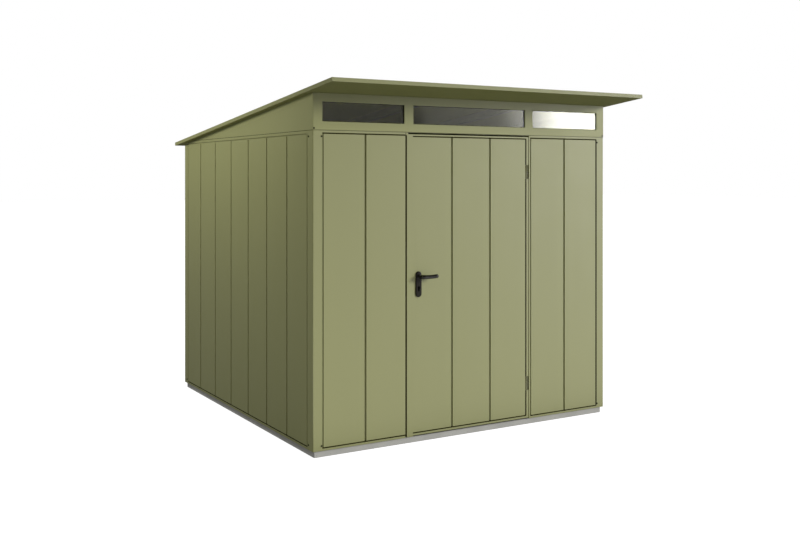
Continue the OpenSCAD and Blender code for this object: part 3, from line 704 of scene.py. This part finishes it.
def upright_shade_gasket(face, left, bottom, top, lap):
    """A dark gasket that paints shade in an upright groove of a front face, with a lip over both edges of the
    groove.
    """
    front = face - LIP_PROUD
    shade_gasket = add_block((left - lap, front, bottom), (left + GROOVE + lap, face, top))
    bpy.ops.object.mode_set(mode="EDIT")
    pick("FACE", lambda middle, normal: normal.y > ALIGNED)
    bpy.ops.mesh.inset(thickness=lap + STRIP_PLAY)
    bpy.ops.mesh.extrude_region_move(TRANSFORM_OT_translate={"value": (0, GROOVE, 0)})
    round_edges(lambda middle, way: middle.y < front + NEAR and abs(way.z) > ALIGNED, LIP_ROUNDING)
    bpy.ops.object.mode_set(mode="OBJECT")
    return shade_gasket


groove_left = right_bay[1] - GROOVE
shade_gasket = upright_shade_gasket(-wall_face, groove_left, sill_groove + GROOVE, front_groove, BAY_LAP)
settle(shade_gasket, "bay_shade_gasket", "shed", shade_rubber)

# %% [markdown]
# ## Shade strips and gaskets of the door
# The leaf has the same grooves, and the same dark strips paint their shade: strips lie over and under
# its boards, and gaskets fill the upright groove at its hinge side, in three lengths that leave the
# two hinges free.

# %% Shade strips and gaskets of the door
DOOR_LOCK_MARGIN = 46 * MM
DOOR_HINGE_STRIP = 18 * MM
DOOR_TOP_STRIP = 10 * MM
DOOR_BOTTOM_STRIP = 12 * MM
leaf_low, leaf_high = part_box("door_skin")
leaf_span = (leaf_low.x + DOOR_LOCK_MARGIN, leaf_high.x - DOOR_HINGE_STRIP)
leaf_grooves = (leaf_low.z + DOOR_BOTTOM_STRIP, leaf_high.z - DOOR_TOP_STRIP - GROOVE)
shade_strips = [shade_strip(FRONT, -leaf_low.y, leaf_span, bottom) for bottom in leaf_grooves]
settle(join(shade_strips), "door_shade_strips", "door", shade_foam)

HINGE_LEN = 92 * MM
NOTCH_GAP = 2 * MM
DOOR_LAP = 1.2 * MM
hinge_low, hinge_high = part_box("hinge_frame_halves")
hinge_bottoms = (hinge_low.z, hinge_high.z - HINGE_LEN)
ends = [leaf_grooves[0] + GROOVE]
for bottom in hinge_bottoms:
    ends += [bottom - NOTCH_GAP, bottom + HINGE_LEN + NOTCH_GAP]
ends.append(leaf_grooves[1])
shade_gaskets = [
    upright_shade_gasket(leaf_low.y, leaf_span[1] - GROOVE, bottom, top, DOOR_LAP)
    for bottom, top in zip(ends[::2], ends[1::2])
]
settle(join(shade_gaskets), "door_shade_gaskets", "door", shade_rubber)

# %% [markdown]
# ## Joint straps
# Inside, a flat painted strap covers the seam between each two boards, so that no daylight gets in.
# The seams lie in the middle of the grooves that show outside, so their places follow from the
# number of boards and the widths of the grooves. Each strap is a flat strip with its inner long
# edges rounded.

# %% Joint straps
BOARDS = 7
BOARD_GROOVE = 14 * MM
END_COVER = 22 * MM
BOARD_T = 9.5 * MM
STRAP_W = 24 * MM
STRAP_T = 0.8 * MM


def seam_places(span):
    """Where the seams of a wall's boards lie along it, for a wall that is centred on the origin."""
    covered = span[1] - span[0] - 2 * GROOVE - (BOARDS - 1) * BOARD_GROOVE + 2 * END_COVER
    pitch = covered / BOARDS + BOARD_GROOVE
    return [(seam - BOARDS / 2) * pitch for seam in range(1, BOARDS)]


def joint_strap(out, middle, rails):
    """A strap on the inside of a wall that faces out, between its lower and upper rail."""
    along = Vector((abs(out.y), abs(out.x), 0))
    low = out * (wall_face - BOARD_T) + along * (middle - STRAP_W / 2)
    high = out * (wall_face - BOARD_T - STRAP_T) + along * (middle + STRAP_W / 2)
    low.z, high.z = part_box(rails[0])[1].z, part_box(rails[1])[0].z
    return add_strip(low, high, -out, STRAP_T / 2)


straps = []
for out, side, span in walls:
    rails = (side + "_sill_rail", side + "_top_rail")
    straps += [joint_strap(out, middle, rails) for middle in seam_places(span)]
for middle in ((left_bay[0] + GROOVE + left_bay[1]) / 2, sum(right_bay) / 2):
    straps.append(joint_strap(FRONT, middle, ("front_sill_rails", "front_top_rails")))
settle(join(straps), "joint_straps", "shed", green_paint)

# %% [markdown]
# ## Corner brackets
# In each corner of the room, a zinc-plated bracket ties the sill rails to the post. One bracket is
# a block whose inner upright edge is cut off by a wide bevel, and whose other edges are softened by
# a small one.

# %% Corner brackets
RAIL_D = 38 * MM
BRACKET = 62 * MM
BRACKET_H = 28 * MM
BRACKET_CUT = 42 * MM
BRACKET_EDGE = 1 * MM
corner = wall_face - RAIL_D
brackets = []
for x_side, y_side in ((-1, -1), (1, -1), (-1, 1), (1, 1)):
    inner_corner = Vector((x_side * (corner - BRACKET), y_side * (corner - BRACKET), 0))
    bracket = add_block(
        (x_side * corner, y_side * corner, post_low.z),
        (inner_corner.x, inner_corner.y, post_low.z + BRACKET_H),
    )
    bpy.ops.object.mode_set(mode="EDIT")
    pick("EDGE", lambda middle, way: abs(way.z) > ALIGNED and (middle - inner_corner).xy.length < NEAR)
    bpy.ops.mesh.bevel(offset=BRACKET_CUT, segments=1, affect="EDGES")
    bpy.ops.mesh.select_all(action="SELECT")
    bpy.ops.mesh.bevel(offset=BRACKET_EDGE, segments=2, affect="EDGES")
    bpy.ops.object.mode_set(mode="OBJECT")
    brackets.append(bracket)
settle(join(brackets), "corner_brackets", "shed", bare_steel)

# %% [markdown]
# ## Door frame seals
# Dark rubber seals sit on the stops that the door closes against, and paint the shade of the narrow
# gaps around it. Each is a strip with a rounded face that ends short of what it seals, so that it is
# clear while the door swings.

# %% Door frame seals
SEAL_CLEARANCE = 1 * MM
HINGE_STOP_STEP = 6 * MM
HINGE_SEAL = 5 * MM
SEAL_RADIUS = 2 * MM
SEAL_INSET = 3 * MM
HEAD_SEAL = 15 * MM
stop_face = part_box("door_head")[0].y
seal_face = leaf_high.y + SEAL_CLEARANCE
hinge_stop_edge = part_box("hinge_side_jamb")[0].x
hinge_stop_face = stop_face + HINGE_STOP_STEP
lock_stop_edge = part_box("lock_side_jamb")[1].x
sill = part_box("base_slab")[1].z
head = post_high.z
shade_seals = [
    add_strip(
        (leaf_low.x + SEAL_INSET, seal_face, sill + SEAL_INSET),
        (lock_stop_edge - SEAL_INSET, stop_face, head - SEAL_INSET), FRONT, SEAL_RADIUS,
    ),
    add_strip(
        (hinge_stop_edge + SEAL_INSET, hinge_stop_face - HINGE_SEAL, sill + SEAL_INSET),
        (leaf_high.x - SEAL_INSET, hinge_stop_face, head - SEAL_INSET), FRONT, SEAL_RADIUS,
    ),
    add_strip(
        (lock_stop_edge, seal_face, leaf_high.z - HEAD_SEAL),
        (hinge_stop_edge, stop_face, head - SEAL_CLEARANCE), FRONT, SEAL_RADIUS,
    ),
]
settle(join(shade_seals), "door_frame_shade_seals", "shed", shade_rubber)

# %% [markdown]
# ## Brush and foot
# A brush closes the gap under the leaf. Under the leaf's plain lock edge the skin itself reaches
# down to the base, which a small foot stands for. Both are strips with their lower long edges
# rounded.

# %% Brush and foot
DOWN = Vector((0, 0, -1))
SWEEP_INSET = 2 * MM
FOOT_T = 4 * MM
FOOT_RADIUS = 0.6 * MM
BRUSH_GREY = (0.085, 0.083, 0.06)
brush = new_finish("brush", moulded_grain, BRUSH_GREY, roughness=0.9, ior=1.4, specular=0.05)
gap_bottom = sill + SEAL_CLEARANCE / 2
sweep = add_strip(
    (leaf_span[0], leaf_low.y + SWEEP_INSET, gap_bottom),
    (leaf_high.x, leaf_high.y - SWEEP_INSET, leaf_low.z), DOWN, SEAL_CLEARANCE,
)
settle(sweep, "door_sweep", "door", brush)
door_foot = add_strip(
    (leaf_low.x, leaf_low.y, gap_bottom),
    (leaf_span[0], leaf_low.y + FOOT_T, leaf_low.z), DOWN, FOOT_RADIUS,
)
settle(door_foot, "door_foot", "door", green_paint)

# %% [markdown]
# ## Ear and lip of the leaf
# On the leaf's upper lock corner, a folded ear closes the end of the gaps: a thin block, cut in two
# by a bisect, whose left half is extruded down beside the leaf. Below it, a dark lip on the leaf's
# lock edge covers the lock and paints the shade of the gap in front of it.

# %% Ear and lip of the leaf
LIP_W = 9 * MM
LIP_DEPTH = (2 * MM, 5 * MM)
EAR_T = 1.8 * MM
EAR_DROP = 7 * MM
EAR_EDGE = 0.3 * MM
ear = add_block(
    (leaf_low.x - LIP_W, leaf_low.y, leaf_high.z),
    (leaf_low.x + LIP_W, leaf_low.y + EAR_T, head - SEAL_CLEARANCE / 2),
)
bpy.ops.object.mode_set(mode="EDIT")
bpy.ops.mesh.select_all(action="SELECT")
bpy.ops.mesh.bisect(plane_co=(leaf_low.x, 0, 0), plane_no=(1, 0, 0))
pick("FACE", lambda middle, normal: normal.z < -ALIGNED and middle.x < leaf_low.x)
bpy.ops.mesh.extrude_region_move(TRANSFORM_OT_translate={"value": (0, 0, -EAR_DROP)})
round_edges(
    lambda middle, way: middle.y < leaf_low.y + NEAR and abs(middle.x - leaf_low.x) > EAR_T, EAR_EDGE
)
bpy.ops.object.mode_set(mode="OBJECT")
settle(ear, "door_ear", "door", green_paint)
shade_lip = add_strip(
    (leaf_low.x - LIP_W, leaf_low.y + LIP_DEPTH[0], leaf_low.z),
    (leaf_low.x, leaf_low.y + LIP_DEPTH[1], leaf_high.z), LEFT, SEAL_CLEARANCE,
)
settle(shade_lip, "door_edge_shade_lip", "door", shade_foam)

# %% [markdown]
# ## Hinge pads
# A small dark pad fills the space between the lower half of each hinge and the jamb, and paints the
# shade there. It lies on the hinge's strap, right of the knuckle.

# %% Hinge pads
PAD_T = 0.4 * MM
KNUCKLE_R = 8 * MM
HALF_STRAP = 1.5 * MM
strap_face = hinge_low.y + KNUCKLE_R - HALF_STRAP
shade_pads = [
    add_strip(
        (hinge_low.x + 2 * KNUCKLE_R, strap_face - PAD_T, bottom),
        (hinge_high.x, strap_face, bottom + HINGE_LEN / 2), FRONT, PAD_T / 2,
    )
    for bottom in hinge_bottoms
]
settle(join(shade_pads), "hinge_shade_pads", "shed", shade_foam)

# %% [markdown]
# ## Window beads
# Each pane is held by a thin rubber bead in the corner between glass and frame, and a deeper one
# lines the opening behind it. Each is a block as large as the opening whose front and back are
# inset and bridged, which leaves a frame, and the edges away from the glass are softened by a
# bevel.

# %% Window beads
PANE_LAP = 12 * MM
BEAD_W = 2 * MM
BEAD_T = 3 * MM
BEAD_EDGE = 0.6 * MM
frame_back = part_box("transom_back_frame")[1].y
beads = []
for pane in ("left_window_pane", "centre_window_pane", "right_window_pane"):
    low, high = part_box(pane)
    for face, glass in ((low.y - BEAD_T, low.y), (frame_back, high.y)):
        bead = add_block(
            (low.x + PANE_LAP, face, low.z + PANE_LAP), (high.x - PANE_LAP, glass, high.z - PANE_LAP)
        )
        bpy.ops.object.mode_set(mode="EDIT")
        pick("FACE", lambda middle, normal: abs(normal.y) > ALIGNED)
        bpy.ops.mesh.inset(thickness=BEAD_W, use_individual=True)
        bpy.ops.mesh.bridge_edge_loops()
        round_edges(lambda middle, way: abs(middle.y - face) < NEAR, BEAD_EDGE)
        bpy.ops.object.mode_set(mode="OBJECT")
        beads.append(bead)
# The beads take the rubber finish, whose olive tint is painted shade.
settle(join(beads), "window_beads", "shed", shade_rubber)

# %% [markdown]
# ## Screws
# Flange screws hold the posts, the ends of the transom and the roof's side trims. Their dark olive is
# painted shade, which shows them as dark dots. One screw is modelled: a dished flange and a hexagon
# head, both cylinders whose top is inset. Copies of it are then set where a ray from outside meets
# the solid, so that each one sits on its surface and stands square.

# %% Screws
FLANGE_R = 6 * MM
FLANGE_T = 1.2 * MM
FLANGE_RIM = 1 * MM
FLANGE_SIDES = 24
HEAD_R = 4.5 * MM
HEAD_H = 3.2 * MM
HEAD_RIM = 0.8 * MM
HEAD_SIDES = 6
SCREW_SHADE_OLIVE = (0.03, 0.03, 0.011)
screw_shade_coat = new_finish(
    "screw_shade_coat", moulded_grain, SCREW_SHADE_OLIVE, roughness=0.4, ior=1.45, specular=0.1
)


def add_turned(sides, radius, bottom, height, rim):
    """A cylinder on the Z axis whose top edge is drawn in and raised by an inset."""
    bpy.ops.object.select_all(action="DESELECT")
    bpy.ops.mesh.primitive_cylinder_add(
        vertices=sides, radius=radius, depth=height, location=(0, 0, bottom + height / 2)
    )
    bpy.ops.object.mode_set(mode="EDIT")
    pick("FACE", lambda middle, normal: normal.z > ALIGNED)
    bpy.ops.mesh.inset(thickness=rim, depth=rim / 2)
    bpy.ops.object.mode_set(mode="OBJECT")
    return bpy.context.object


def set_screws(name, sites):
    """Copies of the screw where rays meet CAD nodes, as one piece; a site is (node, start, way)."""
    copies = []
    for node, start, way in sites:
        _, place, normal, _ = nodes[node].ray_cast(Vector(start), Vector(way))
        copy = copy_piece(screw)
        copy.location = place
        copy.rotation_euler = normal.to_track_quat("Z", "Y").to_euler()
        copies.append(copy)
    settle(join(copies), name, "shed", screw_shade_coat)


screw = join([
    add_turned(FLANGE_SIDES, FLANGE_R, 0, FLANGE_T, FLANGE_RIM),
    add_turned(HEAD_SIDES, HEAD_R, FLANGE_T, HEAD_H, HEAD_RIM),
])
print("screw faces:", len(screw.data.polygons))

# %% [markdown]
# ## Screws in place
# Each post has a screw near both ends on both of its faces, a little higher at the back. The
# transom has one at each end, and each side trim of the roof has two on its top.

# %% Screws in place
POST_SCREW = 60 * MM
SCREW_LOW = 31 * MM
SCREW_DROP = 37 * MM
REAR_RISE = 9 * MM
edge = wall_face - POST_SCREW
far = 2 * wall_face
sites = []
for node, x_side, y_side in (
    ("front_left_post", -1, -1), ("front_right_post", 1, -1),
    ("back_left_post", -1, 1), ("back_right_post", 1, 1),
):
    drop = SCREW_DROP - (REAR_RISE if y_side > 0 else 0)
    for height in (post_low.z + SCREW_LOW, post_high.z - drop):
        sites.append((node, (x_side * edge, y_side * far, height), (0, -y_side, 0)))
        sites.append((node, (x_side * far, y_side * edge, height), (-x_side, 0, 0)))
set_screws("post_screws", sites)

TRANSOM_SCREW = 13 * MM
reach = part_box("transom_panel")[1].x - FLANGE_R
height = post_high.z + TRANSOM_SCREW
sites = [("transom_panel", (x, -far, height), (0, 1, 0)) for x in (-reach, reach)]
set_screws("transom_screws", sites)

TRIM_SCREW_INSET = 12 * MM
TRIM_SCREW_FRONT = 40 * MM
TRIM_SCREW_REAR = 105 * MM
trim_low, trim_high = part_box("left_fascia")
over = trim_high.z + far
sites = []
for y in (-wall_face + TRIM_SCREW_FRONT, wall_face - TRIM_SCREW_REAR):
    sites.append(("left_fascia", (trim_low.x + TRIM_SCREW_INSET, y, over), (0, 0, -1)))
    sites.append(("right_fascia", (-trim_low.x - TRIM_SCREW_INSET, y, over), (0, 0, -1)))
set_screws("roof_screws", sites)
bpy.data.objects.remove(screw)

# %% [markdown]
# ## Lever measures
# The lever is one bent bar: a journal in the plate, a collar, a neck, a round bend and an arm that
# thickens slightly to a rounded end. The CAD lever gives its pivot, reach and thickness. A neck
# step is a distance from the door and a radius there, and an arm step is a share of the reach, a
# thickness and a lift.

# %% Lever measures
joints = {joint["name"]: joint for joint in frame["joints"]}
pivot = Vector(joints["lever_turn"]["pos_m"])
lever_low, lever_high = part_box("outer_lever")
arm_r = (lever_high.z - lever_low.z) / 2
arm_y = lever_low.y + arm_r
END_PLAY = 6 * MM
arm_end = lever_high.x - pivot.x - END_PLAY
BEND_R = 16 * MM
JOURNAL_R = 8 * MM
JOURNAL_GAP = 0.5 * MM
BEND_STEPS = 10
BAR_SIDES = 32
NECK_SWELL = 1.2
neck_end = leaf_low.y - arm_y - BEND_R
NECK_STEPS = [
    (9.3 * MM, JOURNAL_R), (9.3 * MM, 14.5 * MM), (13.0 * MM, 14.5 * MM), (14.4 * MM, 13.6 * MM),
    (15.2 * MM, 11.2 * MM), (18.0 * MM, 10.6 * MM), (neck_end, NECK_SWELL * arm_r),
]
ARM_STEPS = [
    (0.14, 1.2, 0.0), (0.25, 1.18, -0.8 * MM), (0.45, 1.16, -1.2 * MM), (0.7, 1.16, -0.8 * MM),
    (0.82, 1.19, 0.4 * MM), (0.9, 1.21, 1.4 * MM), (0.96, 1.12, 1.4 * MM), (1.0, 0.8, 1.0 * MM),
]
print("lever reach:", round(arm_end / MM), "mm")

# %% [markdown]
# ## Levers
# By hand the bar is a disc that is extruded and scaled step by step, spun through a quarter turn
# for the bend and extruded on along the arm. The inner lever is its mirror image, with its faces
# turned outwards again.


# %% Levers
def draw_ring(move, centre, scale):
    """Extrudes the selected end by a move, then scales the new end about its centre."""
    bpy.ops.mesh.extrude_region_move(TRANSFORM_OT_translate={"value": move})
    bpy.ops.transform.resize(value=(scale,) * 3, center_override=centre)


bpy.ops.object.select_all(action="DESELECT")
start = Vector((pivot.x, leaf_low.y, pivot.z))
bpy.ops.mesh.primitive_circle_add(
    vertices=BAR_SIDES, radius=JOURNAL_R, fill_type="NGON", location=start + FRONT * JOURNAL_GAP,
    rotation=(radians(90), 0, 0),
)
lever = bpy.context.object
bpy.ops.object.transform_apply()
bpy.ops.object.mode_set(mode="EDIT")
bpy.ops.mesh.select_all(action="SELECT")
out, radius = JOURNAL_GAP, JOURNAL_R
for next_out, next_radius in NECK_STEPS:
    centre = start + FRONT * next_out
    draw_ring(FRONT * (next_out - out), centre, next_radius / radius)
    out, radius = next_out, next_radius
bend = Vector((pivot.x + BEND_R, leaf_low.y - neck_end, pivot.z))
bpy.ops.mesh.spin(steps=BEND_STEPS, angle=radians(90), center=bend, axis=(0, 0, -1))
centre = bend + FRONT * BEND_R
for share, thickness, lift in ARM_STEPS:
    next_centre = Vector((pivot.x + share * arm_end, arm_y, pivot.z + lift))
    draw_ring(next_centre - centre, next_centre, thickness * arm_r / radius)
    centre, radius = next_centre, thickness * arm_r
bpy.ops.mesh.select_all(action="SELECT")
bpy.ops.mesh.remove_doubles(threshold=MERGE)
bpy.ops.mesh.normals_make_consistent()
bpy.ops.object.mode_set(mode="OBJECT")
inner = copy_piece(lever)
inner.scale.y = -1
inner.location.y = leaf_low.y + leaf_high.y
bpy.ops.object.transform_apply()
bpy.ops.object.mode_set(mode="EDIT")
bpy.ops.mesh.select_all(action="SELECT")
bpy.ops.mesh.normals_make_consistent()
bpy.ops.object.mode_set(mode="OBJECT")
settle(lever, "outer_lever_bar", "lever", lever_black)
settle(inner, "inner_lever_bar", "lever", lever_black)
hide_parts("outer_lever")
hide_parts("inner_lever")
low_corner = [round(min(corner[axis] for corner in lever.bound_box), 4) for axis in range(3)]
print("lever's low corner:", low_corner, "CAD:", [round(value, 4) for value in lever_low])

# %% [markdown]
# ## Lever plates
# The plates behind the levers are pressed metal with a softly rounded rim. The CAD plate has the
# right outline and holes, so a copy of it is merged into plain faces and only its front rim is
# bevelled.

# %% Lever plates
RIM_R = 3.5 * MM
RIM_REACH = 0.3 * MM
FLAT_ANGLE = 1


def copy_node(node):
    """A copy of a CAD node with its loose triangles merged into plain faces, left in edit mode."""
    piece = bpy.data.objects.new(node + "_copy", nodes[node].data.copy())
    scene.collection.objects.link(piece)
    select_only(piece)
    bpy.ops.object.mode_set(mode="EDIT")
    bpy.ops.mesh.customdata_custom_splitnormals_clear()
    bpy.ops.mesh.select_all(action="SELECT")
    bpy.ops.mesh.remove_doubles(threshold=MERGE)
    bpy.ops.mesh.dissolve_limited(angle_limit=radians(FLAT_ANGLE))
    return piece


def rounded_plate(node, name, front):
    """A lever plate with its front rim rounded; front is the depth of its face."""
    low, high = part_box(node)
    half = (high.x - low.x) / 2
    plate = copy_node(node)

    def on_rim(middle, way):
        level = min(max(middle.z, low.z + half), high.z - half)
        from_axis = Vector((middle.x - pivot.x, middle.z - level)).length
        return abs(middle.y - front) < NEAR and from_axis > half - RIM_REACH

    round_edges(on_rim, RIM_R, segments=5)
    bpy.ops.object.mode_set(mode="OBJECT")
    settle(plate, name, "door", black_fittings)
    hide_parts(node)


rounded_plate("outer_lever_plate", "outer_plate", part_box("outer_lever_plate")[0].y)
rounded_plate("inner_lever_plate", "inner_plate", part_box("inner_lever_plate")[1].y)

# %% [markdown]
# ## Key plugs
# On each side the lock cylinder shows a round plug with a keyway, and a small pit in its foot. The
# plug is a cylinder whose face is inset to leave a raised ring, and a Boolean cuts the upright
# keyway out of it. The pit is a smaller cylinder with a sunk face.

# %% Key plugs
PLUG_R = 7.2 * MM
PLUG_LIFT = 1.3 * MM
PLUG_PROUD = 0.8 * MM
PLUG_DEPTH = 3 * MM
PLUG_CHAMFER = {"thickness": 0.5 * MM, "depth": 0.2 * MM}
PLUG_DISH = {"thickness": 0.7 * MM, "depth": -0.5 * MM}
PLUG_SIDES = 32
KEYWAY_W = 1.8 * MM
KEYWAY_H = 8 * MM
KEYWAY_DEPTH = 0.8 * PLUG_DEPTH
FOOT_R = 6 * MM
PIT_LIFT = 1 * MM
PIT_RIM = {"thickness": 0.8 * MM}
PIT_SINK = {"thickness": 0.2 * MM, "depth": -0.5 * MM}
PIT_SIDES = 24
cylinder_low, cylinder_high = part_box("lock_cylinder")
plug_z = cylinder_high.z - (cylinder_high.x - cylinder_low.x) / 2 + PLUG_LIFT
pit_z = cylinder_low.z + FOOT_R + PIT_LIFT
plug_face = cylinder_low.y - PLUG_PROUD


def add_plug(sides, radius, height, insets):
    """A cylinder on the lock's face at this height, whose front is inset step by step."""
    bpy.ops.object.select_all(action="DESELECT")
    bpy.ops.mesh.primitive_cylinder_add(
        vertices=sides, radius=radius, depth=PLUG_DEPTH,
        location=(pivot.x, plug_face + PLUG_DEPTH / 2, height), rotation=(radians(90), 0, 0),
    )
    bpy.ops.object.transform_apply()
    bpy.ops.object.mode_set(mode="EDIT")
    pick("FACE", lambda middle, normal: normal.y < -ALIGNED)
    for inset in insets:
        bpy.ops.mesh.inset(**inset)
    bpy.ops.object.mode_set(mode="OBJECT")
    return bpy.context.object


def cut_out(piece, block):
    """Cuts a block out of a piece by a Boolean, and deletes the block."""
    select_only(piece)
    cut = piece.modifiers.new("cut", "BOOLEAN")
    cut.object = block
    bpy.ops.object.modifier_apply(modifier=cut.name)
    bpy.data.objects.remove(block)


plug = add_plug(PLUG_SIDES, PLUG_R, plug_z, (PLUG_CHAMFER, PLUG_DISH))
cut_out(plug, add_block(
    (pivot.x - KEYWAY_W / 2, plug_face - PLUG_DEPTH, plug_z - KEYWAY_H / 2),
    (pivot.x + KEYWAY_W / 2, plug_face + KEYWAY_DEPTH, plug_z + KEYWAY_H / 2),
))
plug = join([plug, add_plug(PIT_SIDES, FOOT_R, pit_z, (PIT_RIM, PIT_SINK))])
inner_plug = copy_piece(plug)
inner_plug.rotation_euler.z = radians(180)
inner_plug.location = (2 * pivot.x, leaf_low.y + leaf_high.y, 0)
bpy.ops.object.transform_apply()
# The plugs' near-black finish paints the shade of keyway and pit.
settle(join([plug, inner_plug]), "key_plugs", "door", lock_shade_black)

# %% [markdown]
# ## Bolts
# With the door open, its edge shows a sprung latch, slanted on the side that meets the strike
# first, and a dead bolt drawn back. Both are blocks with bevelled ends.

# %% Bolts
LATCH_OUT = 7.5 * MM
LATCH_SLANT = 0.9 * LATCH_OUT
DEAD_BOLT_OUT = 1.5 * MM
BOLT_T = 11 * MM
BOLT_EDGE = 0.4 * MM
LATCH_H = 18 * MM
DEAD_BOLT_H = 26 * MM
face_low, face_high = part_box("lock_face_plate")
bolt_y = (face_low.y + face_high.y) / 2


def add_bolt(height, tall, stands_out, slant=0.0):
    """A bolt of the face plate at this height, slanted where it meets the strike, with soft edges."""
    tip = face_low.x - stands_out
    bolt = add_block(
        (tip, bolt_y - BOLT_T / 2, height - tall / 2),
        (face_low.x, bolt_y + BOLT_T / 2, height + tall / 2),
    )

    def meets_strike(middle, way):
        return abs(way.z) > ALIGNED and middle.x < tip + NEAR and middle.y > bolt_y

    bpy.ops.object.mode_set(mode="EDIT")
    if slant:
        round_edges(meets_strike, slant, segments=1)
    round_edges(lambda middle, way: middle.x < face_low.x - NEAR, BOLT_EDGE)
    bpy.ops.object.mode_set(mode="OBJECT")
    return bolt


latch = add_bolt(pivot.z, LATCH_H, LATCH_OUT, LATCH_SLANT)
dead_bolt = add_bolt(plug_z, DEAD_BOLT_H, DEAD_BOLT_OUT)
settle(join([latch, dead_bolt]), "lock_bolts", "door", bare_steel)

# %% [markdown]
# ## Strike
# The strike plate on the jamb gets the two openings that the bolts enter, cut by Booleans from a
# copy of the CAD plate.

# %% Strike
STRIKE_PLAY = 2 * MM
STRIKE_END = 6 * MM
strike_low, strike_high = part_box("strike_plate")
strike = copy_node("strike_plate")
bpy.ops.object.mode_set(mode="OBJECT")
for height, tall in ((pivot.z, LATCH_H), (plug_z, DEAD_BOLT_H)):
    bottom = max(height - tall / 2, strike_low.z + STRIKE_END) - STRIKE_PLAY
    top = height + tall / 2 + STRIKE_PLAY
    cut_out(strike, add_block(
        (strike_low.x - STRIKE_END, bolt_y - BOLT_T / 2 - STRIKE_PLAY, bottom),
        (strike_high.x + STRIKE_END, bolt_y + BOLT_T / 2 + STRIKE_PLAY, top),
    ))
settle(strike, "strike_with_openings", "shed", bare_steel)
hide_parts("strike_plate")
